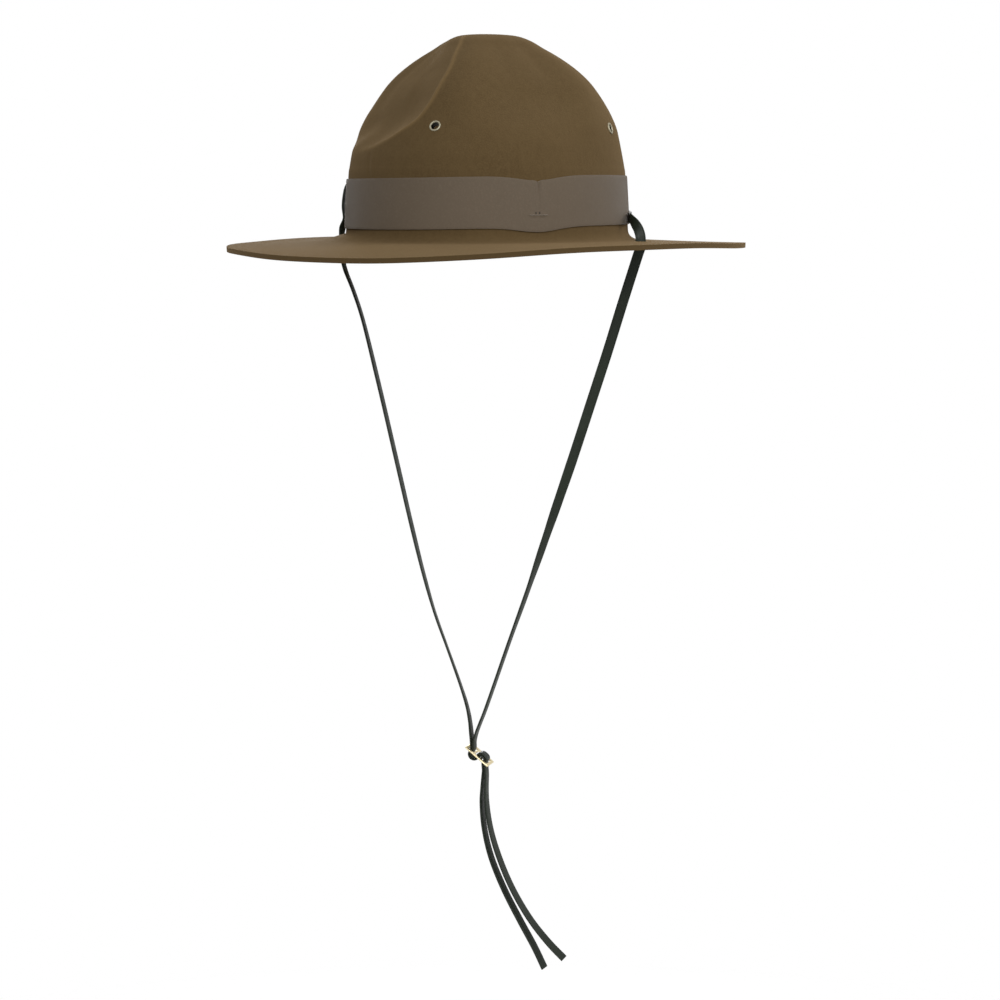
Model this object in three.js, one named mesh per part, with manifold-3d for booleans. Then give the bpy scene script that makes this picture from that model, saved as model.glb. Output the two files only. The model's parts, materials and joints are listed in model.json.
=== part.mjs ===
// Campaign hat: a stiff fur-felt hat with a four-dent crown, a wide flat brim, a ribbon band,
// four ventilation eyelets and a leather chin strap gathered by a brass slide.
// Millimetres, +Z up, the wearer faces -Y and the wearer's left is +X. The origin is the centre
// of the head opening, level with the underside of the brim where it meets the crown.
import * as THREE from "three";
import { mergeVertices } from "three/addons/utils/BufferGeometryUtils.js";
import Module from "manifold-3d";

const wasm = await Module();
wasm.setup();

// ---- driving dimensions ----
const GAP = 0.3; // clearance between pieces that touch
const SEGMENTS = 64; // facets round the crown and brim

// Felt: outer half sizes of the crown at its foot, and the wall thicknesses.
const FOOT_HALF_X = 87.1;
const FOOT_HALF_Y = 103.9;
const CROWN_WALL = 2.5;
const BRIM_THICKNESS = 3;
const BRIM_WIDTH = 74.5;
const EDGE_ROUND = 1.1; // how far the cut edge of the brim is rounded

// The crown's outer ridge lines, from the foot to the flat top: the height, the share of the
// foot's half size left at the sides and at the front and back, and the share of the full dent.
const CROWN_ROWS = [
  { height: 9, side: 1.0, front: 1.0, dent: 0 },
  { height: 42, side: 0.98, front: 0.979, dent: 0 },
  { height: 49, side: 0.97, front: 0.965, dent: 0 },
  { height: 57, side: 0.955, front: 0.938, dent: 1 },
  { height: 65, side: 0.94, front: 0.9, dent: 1 },
  { height: 71.8, side: 0.924, front: 0.864, dent: 1 },
  { height: 79, side: 0.894, front: 0.824, dent: 1 },
  { height: 86, side: 0.857, front: 0.783, dent: 1 },
  { height: 93, side: 0.813, front: 0.735, dent: 1 },
  { height: 99.5, side: 0.762, front: 0.678, dent: 1 },
  { height: 106, side: 0.689, front: 0.608, dent: 1 },
  { height: 112, side: 0.6, front: 0.536, dent: 0.92 },
  { height: 117.5, side: 0.5, front: 0.456, dent: 0.76 },
  { height: 122, side: 0.406, front: 0.383, dent: 0.54 },
  { height: 126, side: 0.328, front: 0.318, dent: 0.32 },
  { height: 128.6, side: 0.256, front: 0.252, dent: 0.16 },
  { height: 129.7, side: 0.205, front: 0.203, dent: 0.07 },
  { height: 130.2, side: 0.13, front: 0.13, dent: 0.03 },
];
const CROWN_TOP = 130.3;
const TOP_RING = 0.05; // share of the foot's size where the last ring under the pole lies

// Four dents between the ridges. The fold under a dent runs low beside the side ridge and climbs
// steeply along the front or back ridge. Keep is the undented turn beside a ridge and ease the
// turn over which the dent then deepens, in degrees; soft is the same over height, in millimetres.
// The side ridges are broad at their foot and narrow upwards.
const FOLD_BASE = 53.5;
const FOLD_CLIMB = 280; // millimetres times degrees
const FOLD_NEAREST = 3.5; // degrees
const SIDE_KEEP = { low: 14, high: 5, from: 68, over: 32 };
const SIDE_EASE = 26;
const DENTS = [
  { name: "back_left", side: 0, end: 90, depth: 11, keep: 2, ease: 24, soft: 30 },
  { name: "back_right", side: 180, end: 90, depth: 11, keep: 2, ease: 24, soft: 30 },
  { name: "front_right", side: 180, end: 270, depth: 13, keep: 0, ease: 12, soft: 20 },
  { name: "front_left", side: 360, end: 270, depth: 9, keep: 4, ease: 34, soft: 34 },
];

// The fillet from the crown's foot to the brim, as distance out from the foot and height.
const FILLET_ROWS = [
  { out: 0.5, height: 6.6 },
  { out: 2.2, height: 4.6 },
  { out: 5, height: 3.4 },
  { out: 8.5, height: BRIM_THICKNESS },
];
const BRIM_ROWS = [16, 28, 42, 56, 67]; // distances out from the foot
// The brim isn't quite flat: it droops a little, its sides ride up, and it is slightly twisted.
const BRIM_DROOP = 3.3;
const BRIM_SADDLE = 2.7;
const BRIM_TWIST = -1.6;
const BRIM_RIPPLE = -0.9;
// The fillet swells a little on the wearer's right, most at a small distance out from the foot.
const SWELL = 3.4;
const SWELL_AT = 190; // degrees from +X
const SWELL_SPREAD = 35; // degrees
const SWELL_OUT = 5;

// Ribbon band
const BAND_WIDTH = 30.5;
const BAND_THICKNESS = 1;
const BAND_LOW = 11.4;
const BAND_SIDE_LIFT = 0.4;
const BAND_TILT = 0.9; // how much higher it sits on the wearer's left
const TACK_AT = -46.6; // degrees from +X, where the band is tacked into a dip
const TACK_DIP = 2.8;
const TACK_SPREAD = 10.8; // degrees

// Eyelets
const EYELET_HEIGHT = 71.8;
const EYELET_FLANGE_RADIUS = 3.5;
const EYELET_BARREL_RADIUS = 2.8;
const EYELET_HOLE_RADIUS = 2.2;
const EYELET_FLANGE = 0.6;
const EYELET_CLEAR = 0.42; // from the wall to each flange
const EYELET_SIDES = 16;
const EYELETS = [
  { name: "eyelet_left", at: 0 },
  { name: "eyelet_back", at: 90 },
  { name: "eyelet_right", at: 180 },
  { name: "eyelet_front", at: 270 },
];

// Strap and its holes through the brim
const STRAP_WIDTH = 6.4;
const STRAP_THICKNESS = 1.2;
const STRAP_CHAMFER = 0.35;
const STRAP_STEP = 16; // longest stretch between two sections
const STRAP_CLEAR = 0.7; // from the band, where the strap runs round the crown
const STRAP_HOLES_X = [100.8, -101.8];
const STRAP_HOLE_RADIUS = 3.75;

// Slide: a plate with three slots, leaning down towards the wearer's left
const SLIDE_CENTRE = new THREE.Vector3(-1.1, -16.5, -328.9);
const SLIDE_LEAN = 37; // degrees
const SLIDE_LENGTH = 19.3;
const SLIDE_WIDTH = 12;
const SLIDE_THICKNESS = 1;
const SLIDE_CORNER = 0.8;
const SLOT_PITCH = 5.5;
const SLOT_LENGTH = 7.6;
const SLOT_OPENING = 4;
const STACK_OFFSET = (STRAP_THICKNESS + GAP) / 2; // each strap's distance from the stack's middle

// The strap's routes. Face is the bearing of the flat side's outward normal: 0 is the front,
// 90 the wearer's left, 180 the back and 270 the wearer's right.
const BACK_START = [
  { x: 100.8, y: 0, z: 1.3, face: 200 },
  { x: 100.8, y: 0, z: 4.6, face: 200 },
  { x: 100, y: 0.2, z: 8, face: 196 },
  { x: 98.6, y: 0.8, z: 10.8, face: 186 },
  { x: 96.6, y: 2, z: 13.2, face: 170 },
  { x: 94.2, y: 4.6, z: 15, face: 148 },
  { x: 91.6, y: 9.4, z: 16.2, face: 124 },
];
// Round the crown against the band: degrees from +X, and height.
const BACK_HUG = [
  { turn: 11, z: 16.7 },
  { turn: 20, z: 17.3 },
  { turn: 34, z: 18.3 },
  { turn: 50, z: 20 },
  { turn: 66, z: 22.6 },
  { turn: 82, z: 25.6 },
  { turn: 98, z: 28.6 },
  { turn: 114, z: 31.6 },
  { turn: 130, z: 34.2 },
  { turn: 144, z: 36.2 },
];
const BACK_END = [
  { x: -79.6, y: 49, z: 37.6, face: 250 },
  { x: -86, y: 33, z: 38.4, face: 256 },
  { x: -93.2, y: 16.5, z: 38.6, face: 258 },
  { x: -97.2, y: 5, z: 38, face: 266 },
  { x: -98.4, y: 0.6, z: 34.6, face: 273 },
  { x: -99.4, y: -0.3, z: 29.4, face: 275 },
  { x: -99.9, y: -0.3, z: 23.4, face: 275 },
  { x: -99.2, y: 0, z: 16.6, face: 271 },
  { x: -101.2, y: 0, z: 10.4, face: 258 },
  { x: -101.8, y: 0, z: 5.5, face: 266 },
  { x: -101.8, y: 0, z: 1.3, face: 268 },
];
const LEFT_LEG = [
  { x: 100.8, y: 0, z: 1, face: 20 },
  { x: 100.8, y: 0, z: -1, face: 20 },
  { x: 99.4, y: -0.5, z: -5.6, face: 20 },
  { x: 89.8, y: -2, z: -36.3, face: 20 },
  { x: 80.7, y: -3.6, z: -66.4, face: 20 },
  { x: 71.1, y: -5.2, z: -96.6, face: 22 },
  { x: 58.9, y: -7.3, z: -134.9, face: 30 },
  { x: 49.9, y: -8.8, z: -161.9, face: 46 },
  { x: 41, y: -10.2, z: -188.5, face: 66 },
  { x: 30.3, y: -12, z: -220.5, face: 86 },
  { x: 19.1, y: -13.8, z: -252.2, face: 91 },
  { x: 8.1, y: -15.3, z: -284.2, face: 92 },
  { x: 2.4, y: -16, z: -300.4, face: 92 },
  { x: -0.6, y: -16.3, z: -308, face: 92 },
  { x: -3, y: -16.5, z: -314.4, face: 91 },
];
const RIGHT_LEG = [
  { x: -101.8, y: 0, z: 1, face: 268 },
  { x: -101.8, y: 0, z: -1, face: 268 },
  { x: -101.6, y: -0.2, z: -6.5, face: 270 },
  { x: -99.7, y: -0.7, z: -15.5, face: 273 },
  { x: -93.5, y: -1.4, z: -30, face: 276 },
  { x: -87.3, y: -2.2, z: -46.4, face: 277 },
  { x: -75.4, y: -4.4, z: -88, face: 274 },
  { x: -59.9, y: -8.2, z: -144.6, face: 273 },
  { x: -49.6, y: -11, z: -181.9, face: 274 },
  { x: -40.3, y: -13, z: -214, face: 278 },
  { x: -32.4, y: -14.2, z: -238, face: 283 },
  { x: -23.6, y: -15, z: -260.1, face: 285 },
  { x: -14.5, y: -15.8, z: -283.1, face: 283 },
  { x: -9.7, y: -16.2, z: -297, face: 279 },
  { x: -7.7, y: -16.4, z: -306, face: 275 },
  { x: -6.7, y: -16.5, z: -314.4, face: 271 },
];
const LEFT_TAIL = [
  { x: 3.9, y: -16.5, z: -342, face: 90 },
  { x: 3.7, y: -16.5, z: -350, face: 90 },
  { x: 3.9, y: -16.5, z: -360, face: 88 },
  { x: 6.4, y: -16.4, z: -377.2, face: 86 },
  { x: 12, y: -16.3, z: -395.5, face: 85 },
  { x: 21.2, y: -16.1, z: -416.2, face: 84 },
  { x: 33.5, y: -15.8, z: -435.8, face: 83 },
  { x: 46.4, y: -15.5, z: -450.6, face: 81 },
  { x: 56.6, y: -15.2, z: -460, face: 80 },
];
const RIGHT_TAIL = [
  { x: 1.8, y: -16.5, z: -342, face: 270 },
  { x: 1.1, y: -16.5, z: -350, face: 269 },
  { x: 0.6, y: -16.5, z: -360, face: 267 },
  { x: 2.2, y: -16.6, z: -377.4, face: 264 },
  { x: 6.8, y: -16.8, z: -395.9, face: 262 },
  { x: 15.7, y: -17, z: -416.5, face: 261 },
  { x: 27, y: -17.2, z: -436.8, face: 260 },
  { x: 37.3, y: -17.4, z: -454.1, face: 259 },
  { x: 44, y: -17.6, z: -467, face: 258 },
];

// ---- materials ----
const felt = new THREE.MeshStandardMaterial({ color: 0x6a5836, roughness: 0.95 });
const ribbon = new THREE.MeshStandardMaterial({ color: 0x64584a, roughness: 0.8 });
const nickel = new THREE.MeshStandardMaterial({ color: 0x96918a, roughness: 0.4, metalness: 0.9 });
const leather = new THREE.MeshStandardMaterial({ color: 0x2d322d, roughness: 0.5 });
const brass = new THREE.MeshStandardMaterial({ color: 0xc8b478, roughness: 0.25, metalness: 1 });

// ---- meshes and solids ----
function meshOf(name, geometry, material) {
  const mesh = new THREE.Mesh(geometry, material);
  mesh.name = name;
  return mesh;
}

function solidOf(geometry) {
  const bare = geometry.clone();
  bare.deleteAttribute("normal");
  bare.deleteAttribute("uv");
  const merged = mergeVertices(bare, 1e-4);
  const vertProperties = new Float32Array(merged.getAttribute("position").array);
  const triVerts = new Uint32Array(merged.index.array);
  return new wasm.Manifold(new wasm.Mesh({ numProp: 3, vertProperties, triVerts }));
}

function geometryOf(solid) {
  const { vertProperties, triVerts } = solid.getMesh();
  const geometry = new THREE.BufferGeometry();
  geometry.setAttribute("position", new THREE.BufferAttribute(vertProperties, 3));
  geometry.setIndex(new THREE.BufferAttribute(triVerts, 1));
  geometry.computeVertexNormals();
  return geometry;
}

// A closed skin of rings that all have the same number of points. Its ends are closed by a fan to
// a point, or the last ring is joined to the first when no points are given.
function skinOf(rings, firstPoint, lastPoint) {
  const count = rings[0].length;
  const points = rings.flat();
  const index = [];
  const joined = firstPoint === undefined;
  const strips = joined ? rings.length : rings.length - 1;
  for (let row = 0; row < strips; row += 1) {
    const next = (row + 1) % rings.length;
    for (let i = 0; i < count; i += 1) {
      const j = (i + 1) % count;
      const a = row * count + i;
      const b = row * count + j;
      const c = next * count + i;
      const d = next * count + j;
      index.push(a, c, b, b, c, d);
    }
  }
  if (!joined) {
    const last = (rings.length - 1) * count;
    points.push(firstPoint, lastPoint);
    for (let i = 0; i < count; i += 1) {
      const j = (i + 1) % count;
      index.push(points.length - 2, i, j, points.length - 1, last + j, last + i);
    }
  }
  const geometry = new THREE.BufferGeometry().setFromPoints(points);
  geometry.setIndex(index);
  geometry.computeVertexNormals();
  return geometry;
}

// ---- felt body ----
function smoothStep(share) {
  const t = Math.min(Math.max(share, 0), 1);
  return t * t * (3 - 2 * t);
}

// How far the wall is pushed in at an angle round the crown and a height, at full dent share.
function dentAt(degrees, height) {
  const turn = ((degrees % 360) + 360) % 360;
  const dent = DENTS.find(({ side, end }) => {
    return turn >= Math.min(side, end) && turn <= Math.max(side, end);
  });
  const fromSide = Math.abs(turn - dent.side);
  const fromEnd = Math.abs(turn - dent.end);
  const fold = FOLD_BASE + FOLD_CLIMB / (fromEnd + FOLD_NEAREST);
  const along = smoothStep((height - fold) / dent.soft);
  const narrowing = smoothStep((height - SIDE_KEEP.from) / SIDE_KEEP.over);
  const keep = THREE.MathUtils.lerp(SIDE_KEEP.low, SIDE_KEEP.high, narrowing);
  const besideSide = smoothStep((fromSide - keep) / SIDE_EASE);
  const besideEnd = smoothStep((fromEnd - dent.keep) / dent.ease);
  return dent.depth * along * besideSide * besideEnd;
}

function brimRise(degrees, out) {
  const share = out / BRIM_WIDTH;
  const angle = THREE.MathUtils.degToRad(degrees);
  const warp = BRIM_SADDLE * Math.cos(2 * angle) + BRIM_TWIST * Math.sin(2 * angle);
  const ripple = BRIM_RIPPLE * Math.cos(4 * angle);
  return (warp + ripple) * share ** 1.5 - BRIM_DROOP * share + swellAt(degrees, out);
}

// The turn between two directions round the crown, in degrees.
function turnBetween(a, b) {
  return Math.abs(((a - b + 540) % 360) - 180);
}

function swellAt(degrees, out) {
  const away = turnBetween(degrees, SWELL_AT) / SWELL_SPREAD;
  const share = out / SWELL_OUT;
  return SWELL * Math.exp(-(away ** 2)) * share * Math.exp(1 - share);
}

function aroundCrown(place) {
  return Array.from({ length: SEGMENTS }, (_, i) => place((360 * i) / SEGMENTS));
}

function crownPoint(degrees, row) {
  const angle = THREE.MathUtils.degToRad(degrees);
  const push = row.dent * dentAt(degrees, row.height);
  const x = (FOOT_HALF_X * row.side - push) * Math.cos(angle);
  const y = (FOOT_HALF_Y * row.front - push) * Math.sin(angle);
  return new THREE.Vector3(x, y, row.height);
}

function brimPoint(degrees, out, height) {
  const angle = THREE.MathUtils.degToRad(degrees);
  const x = (FOOT_HALF_X + out) * Math.cos(angle);
  const y = (FOOT_HALF_Y + out) * Math.sin(angle);
  return new THREE.Vector3(x, y, height + brimRise(degrees, out));
}

// The rings of the upper skin, from the top of the crown out to the brim's edge.
function upperRings() {
  const topRow = { height: CROWN_TOP, side: TOP_RING, front: TOP_RING, dent: 0 };
  const crownRows = [topRow, ...[...CROWN_ROWS].reverse()];
  const brimRows = BRIM_ROWS.map((out) => ({ out, height: BRIM_THICKNESS }));
  brimRows.push({ out: BRIM_WIDTH - EDGE_ROUND, height: BRIM_THICKNESS });
  return [
    ...crownRows.map((row) => aroundCrown((angle) => crownPoint(angle, row))),
    ...[...FILLET_ROWS, ...brimRows].map((row) =>
      aroundCrown((angle) => brimPoint(angle, row.out, row.height)),
    ),
  ];
}

// The skin's outward direction at one point of one ring, from its neighbours.
function outwardAt(rings, row, i) {
  const count = rings[row].length;
  const above = rings[Math.max(row - 1, 0)][i];
  const below = rings[Math.min(row + 1, rings.length - 1)][i];
  const down = below.clone().sub(above);
  const round = rings[row][(i + 1) % count].clone().sub(rings[row][(i + count - 1) % count]);
  return down.cross(round).normalize();
}

function lowerRings(upper) {
  const crownCount = 1 + CROWN_ROWS.length;
  return upper.map((ring, row) => {
    const wall = row < crownCount ? CROWN_WALL : BRIM_THICKNESS;
    return ring.map((point, i) => {
      return point.clone().addScaledVector(outwardAt(upper, row, i), -wall);
    });
  });
}

function brimEdgeRings() {
  const reach = [
    { out: BRIM_WIDTH - EDGE_ROUND / 4, height: BRIM_THICKNESS - EDGE_ROUND / 2 },
    { out: BRIM_WIDTH, height: BRIM_THICKNESS / 2 },
    { out: BRIM_WIDTH - EDGE_ROUND / 4, height: EDGE_ROUND / 2 },
  ];
  return reach.map((row) => aroundCrown((angle) => brimPoint(angle, row.out, row.height)));
}

// A cylinder through the wall, for a hole.
function holeCutter(radius, length, matrix) {
  const cutter = new THREE.CylinderGeometry(radius, radius, length, EYELET_SIDES);
  cutter.applyMatrix4(matrix);
  return solidOf(cutter);
}

// Where an eyelet sits: the middle of the wall, with +Y of the frame pointing outwards.
function eyeletFrame(degrees) {
  const row = CROWN_ROWS.findIndex((each) => each.height === EYELET_HEIGHT);
  const point = crownPoint(degrees, CROWN_ROWS[row]);
  const rise = crownPoint(degrees, CROWN_ROWS[row + 1]).sub(crownPoint(degrees, CROWN_ROWS[row - 1]));
  const angle = THREE.MathUtils.degToRad(degrees);
  const round = new THREE.Vector3(-Math.sin(angle), Math.cos(angle), 0);
  const outward = round.clone().cross(rise).normalize();
  const centre = point.addScaledVector(outward, -CROWN_WALL / 2);
  const turn = new THREE.Quaternion().setFromUnitVectors(new THREE.Vector3(0, 1, 0), outward);
  return new THREE.Matrix4().compose(centre, turn, new THREE.Vector3(1, 1, 1));
}

function feltBody() {
  const upper = upperRings();
  const lower = lowerRings(upper).reverse();
  const top = new THREE.Vector3(0, 0, CROWN_TOP);
  const underTop = new THREE.Vector3(0, 0, CROWN_TOP - CROWN_WALL);
  let solid = solidOf(skinOf([...upper, ...brimEdgeRings(), ...lower], top, underTop));
  const through = 6 * CROWN_WALL;
  for (const eyelet of EYELETS) {
    const frame = eyeletFrame(eyelet.at);
    solid = solid.subtract(holeCutter(EYELET_BARREL_RADIUS + GAP, through, frame));
  }
  const upright = new THREE.Matrix4().makeRotationX(Math.PI / 2);
  for (const x of STRAP_HOLES_X) {
    const place = upright.clone().setPosition(x, 0, BRIM_THICKNESS / 2);
    solid = solid.subtract(holeCutter(STRAP_HOLE_RADIUS, 4 * BRIM_THICKNESS, place));
  }
  return meshOf("felt_body", geometryOf(solid), felt);
}

// ---- hatband ----
// The share of the foot's half sizes that the wall has at a height in the band's reach.
function wallShare(height) {
  const [foot, bandTop] = CROWN_ROWS;
  const share = (height - foot.height) / (bandTop.height - foot.height);
  const side = THREE.MathUtils.lerp(foot.side, bandTop.side, share);
  const front = THREE.MathUtils.lerp(foot.front, bandTop.front, share);
  return { side, front };
}

function tackDip(degrees) {
  return TACK_DIP * Math.exp(-((turnBetween(degrees, TACK_AT) / TACK_SPREAD) ** 2));
}

function bandLift(degrees) {
  const angle = THREE.MathUtils.degToRad(degrees);
  const lean = BAND_SIDE_LIFT * Math.cos(2 * angle) + BAND_TILT * Math.cos(angle);
  return lean - tackDip(degrees);
}

// A point round the crown at a height, off the wall.
function besideWall(degrees, height, off) {
  const wall = wallShare(height);
  const angle = THREE.MathUtils.degToRad(degrees);
  const x = (FOOT_HALF_X * wall.side + off) * Math.cos(angle);
  const y = (FOOT_HALF_Y * wall.front + off) * Math.sin(angle);
  return new THREE.Vector3(x, y, height);
}

function hatband() {
  const ring = (share, off) =>
    aroundCrown((degrees) => {
      const height = BAND_LOW + share * BAND_WIDTH + bandLift(degrees);
      return besideWall(degrees, height, off);
    });
  const outer = [1, 0.5, 0].map((share) => ring(share, GAP + BAND_THICKNESS));
  const inner = [0, 0.5, 1].map((share) => ring(share, GAP));
  return meshOf("hatband", skinOf([...outer, ...inner]), ribbon);
}

// ---- eyelets ----
function eyelet({ name, at }) {
  const seat = CROWN_WALL / 2 + EYELET_CLEAR;
  const lip = seat + EYELET_FLANGE;
  const profile = [
    [EYELET_HOLE_RADIUS, -lip],
    [EYELET_FLANGE_RADIUS - EYELET_FLANGE / 2, -lip],
    [EYELET_FLANGE_RADIUS, -seat - EYELET_FLANGE / 2],
    [EYELET_FLANGE_RADIUS - EYELET_FLANGE / 4, -seat],
    [EYELET_BARREL_RADIUS, -seat],
    [EYELET_BARREL_RADIUS, seat],
    [EYELET_FLANGE_RADIUS - EYELET_FLANGE / 4, seat],
    [EYELET_FLANGE_RADIUS, seat + EYELET_FLANGE / 2],
    [EYELET_FLANGE_RADIUS - EYELET_FLANGE / 2, lip],
    [EYELET_HOLE_RADIUS + EYELET_FLANGE / 2, lip],
    [EYELET_HOLE_RADIUS, seat],
    [EYELET_HOLE_RADIUS, -lip],
  ];
  const points = profile.map(([radius, height]) => new THREE.Vector2(radius, height));
  const mesh = meshOf(name, new THREE.LatheGeometry(points, EYELET_SIDES), nickel);
  mesh.applyMatrix4(eyeletFrame(at));
  return mesh;
}

// ---- chin strap ----
function facing(degrees) {
  const angle = THREE.MathUtils.degToRad(degrees);
  return new THREE.Vector3(Math.sin(angle), -Math.cos(angle), 0);
}

function rowStation(row) {
  return { point: new THREE.Vector3(row.x, row.y, row.z), outward: facing(row.face) };
}

// Against the band: the strap faces straight out from the oval wall.
function hugStation({ turn, z }) {
  const off = GAP + BAND_THICKNESS + STRAP_CLEAR + STRAP_THICKNESS / 2;
  const point = besideWall(turn, z, off);
  const oval = (FOOT_HALF_X / FOOT_HALF_Y) ** 2;
  return { point, outward: new THREE.Vector3(point.x, point.y * oval, 0).normalize() };
}

// The strap's way through the slide, in the plate's own plane: along it and away from its face.
// It goes down the first slot, round under the first bar, up the middle slot, over the second bar
// and down the last slot.
const BEND = SLOT_PITCH / 2; // the bend under the first bar
const BEND_ANGLES = [150, 120, 90, 60, 30];
const FOLD = 1.4; // the tighter corners over the second bar
const SLIDE_RUN = [
  [-SLOT_PITCH - 2.7, 3.8],
  [-SLOT_PITCH - 1.1, 1.8],
  [-SLOT_PITCH - 0.3, 0.6],
  [-SLOT_PITCH, -0.6],
  ...BEND_ANGLES.map((turn) => bendPoint(-BEND, -1.3, BEND, turn)),
  [0.1, -1.1],
  [0.2, 0.6],
  bendPoint(FOLD + 0.2, 0.6, FOLD, 135),
  [FOLD + 0.3, 0.6 + FOLD],
  [SLOT_PITCH - FOLD, 0.6 + FOLD],
  bendPoint(SLOT_PITCH - FOLD, 0.6, FOLD, 45),
  [SLOT_PITCH, 0.6],
  [SLOT_PITCH, -0.5],
  [SLOT_PITCH + 0.4, -1.6],
  [SLOT_PITCH + 1.4, -2.9],
  [SLOT_PITCH + 3.2, -4.9],
];

// A point of a bend under the bars, or over them when the middle lies on their other side.
function bendPoint(along, away, radius, turn) {
  const angle = THREE.MathUtils.degToRad(turn);
  return [along + radius * Math.cos(angle), away + Math.sign(away) * radius * Math.sin(angle)];
}

// One strap of the stacked pair in the slide; side is 1 for the wearer's left leg, -1 for the right.
function slideStations(side) {
  const lean = THREE.MathUtils.degToRad(SLIDE_LEAN);
  const along = new THREE.Vector3(Math.cos(lean), 0, -Math.sin(lean));
  const away = new THREE.Vector3(Math.sin(lean), 0, Math.cos(lean));
  return SLIDE_RUN.map(([p, q], i) => {
    const before = SLIDE_RUN[Math.max(i - 1, 0)];
    const after = SLIDE_RUN[Math.min(i + 1, SLIDE_RUN.length - 1)];
    const run = new THREE.Vector2(after[0] - before[0], after[1] - before[1]).normalize();
    const outward = new THREE.Vector3()
      .addScaledVector(along, -run.y * side)
      .addScaledVector(away, run.x * side);
    const point = SLIDE_CENTRE.clone().addScaledVector(along, p).addScaledVector(away, q);
    return { point: point.addScaledVector(outward, STACK_OFFSET), outward };
  });
}

// Sections every STRAP_STEP at most along a smooth curve through the stations.
function stationsAlong(stations) {
  const route = new THREE.CatmullRomCurve3(
    stations.map((each) => each.point),
    false,
    "centripetal",
  );
  const last = stations.length - 1;
  const made = [];
  for (let i = 0; i <= last; i += 1) {
    const next = Math.min(i + 1, last);
    const span = stations[i].point.distanceTo(stations[next].point);
    const steps = i === last ? 1 : Math.ceil(span / STRAP_STEP);
    for (let step = 0; step < steps; step += 1) {
      const share = step / steps;
      const at = (i + share) / last;
      const outward = stations[i].outward.clone().lerp(stations[next].outward, share);
      made.push({ point: route.getPoint(at), tangent: route.getTangent(at), outward });
    }
  }
  return made;
}

function strapSection() {
  const w = STRAP_WIDTH / 2;
  const t = STRAP_THICKNESS / 2;
  const c = STRAP_CHAMFER;
  return [
    [w, t - c],
    [w - c, t],
    [c - w, t],
    [-w, t - c],
    [-w, c - t],
    [c - w, -t],
    [w - c, -t],
    [w, c - t],
  ];
}

function strap(name, stations) {
  const rings = stationsAlong(stations).map(({ point, tangent, outward }) => {
    const across = tangent.clone().cross(outward).normalize();
    const normal = across.clone().cross(tangent).normalize();
    return strapSection().map(([u, v]) =>
      point.clone().addScaledVector(across, u).addScaledVector(normal, v),
    );
  });
  const middle = (ring) =>
    ring.reduce((sum, point) => sum.add(point), new THREE.Vector3()).divideScalar(ring.length);
  const geometry = skinOf(rings, middle(rings[0]), middle(rings[rings.length - 1]));
  return meshOf(name, geometry, leather);
}

// ---- slide ----
function slidePlate() {
  const halfLength = SLIDE_LENGTH / 2;
  const halfWidth = SLIDE_WIDTH / 2;
  const c = SLIDE_CORNER;
  const outline = new THREE.Shape();
  outline.absarc(halfLength - c, c - halfWidth, c, -Math.PI / 2, 0);
  outline.absarc(halfLength - c, halfWidth - c, c, 0, Math.PI / 2);
  outline.absarc(c - halfLength, halfWidth - c, c, Math.PI / 2, Math.PI);
  outline.absarc(c - halfLength, c - halfWidth, c, Math.PI, 1.5 * Math.PI);
  const options = { depth: SLIDE_THICKNESS, bevelEnabled: false, curveSegments: 5 };
  const plate = new THREE.ExtrudeGeometry(outline, options);
  plate.translate(0, 0, -SLIDE_THICKNESS / 2);
  let solid = solidOf(plate);
  for (const centre of [-SLOT_PITCH, 0, SLOT_PITCH]) {
    const slot = new THREE.BoxGeometry(SLOT_OPENING, SLOT_LENGTH, 4 * SLIDE_THICKNESS);
    solid = solid.subtract(solidOf(slot.translate(centre, 0, 0)));
  }
  const mesh = meshOf("strap_slide", geometryOf(solid), brass);
  mesh.position.copy(SLIDE_CENTRE);
  mesh.rotation.y = THREE.MathUtils.degToRad(SLIDE_LEAN);
  return mesh;
}

// ---- the hat ----
const hat = new THREE.Group();
hat.add(feltBody());
hat.add(hatband());
for (const each of EYELETS) hat.add(eyelet(each));
const backStart = BACK_START.map(rowStation);
const backEnd = BACK_END.map(rowStation);
hat.add(strap("chin_strap_back", [...backStart, ...BACK_HUG.map(hugStation), ...backEnd]));
const leftLeg = [...LEFT_LEG.map(rowStation), ...slideStations(1), ...LEFT_TAIL.map(rowStation)];
const rightLeg = [...RIGHT_LEG.map(rowStation), ...slideStations(-1), ...RIGHT_TAIL.map(rowStation)];
hat.add(strap("chin_strap_left", leftLeg));
hat.add(strap("chin_strap_right", rightLeg));
hat.add(slidePlate());
export default hat;
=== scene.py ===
"""Campaign hat: a stiff fur-felt hat with a peaked crown, a wide flat brim, a ribbon band, four
vent eyelets and a leather chin strap that hangs in a brass slide.

Metres, +Z up, the wearer faces -Y and the wearer's left is +X. The origin is the centre of the
head opening, level with the underside of the brim where it meets the crown. Turns round the crown
are in degrees from +X: 90 is the back, 180 the wearer's right and 270 the front.
"""

import json
import math

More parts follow.
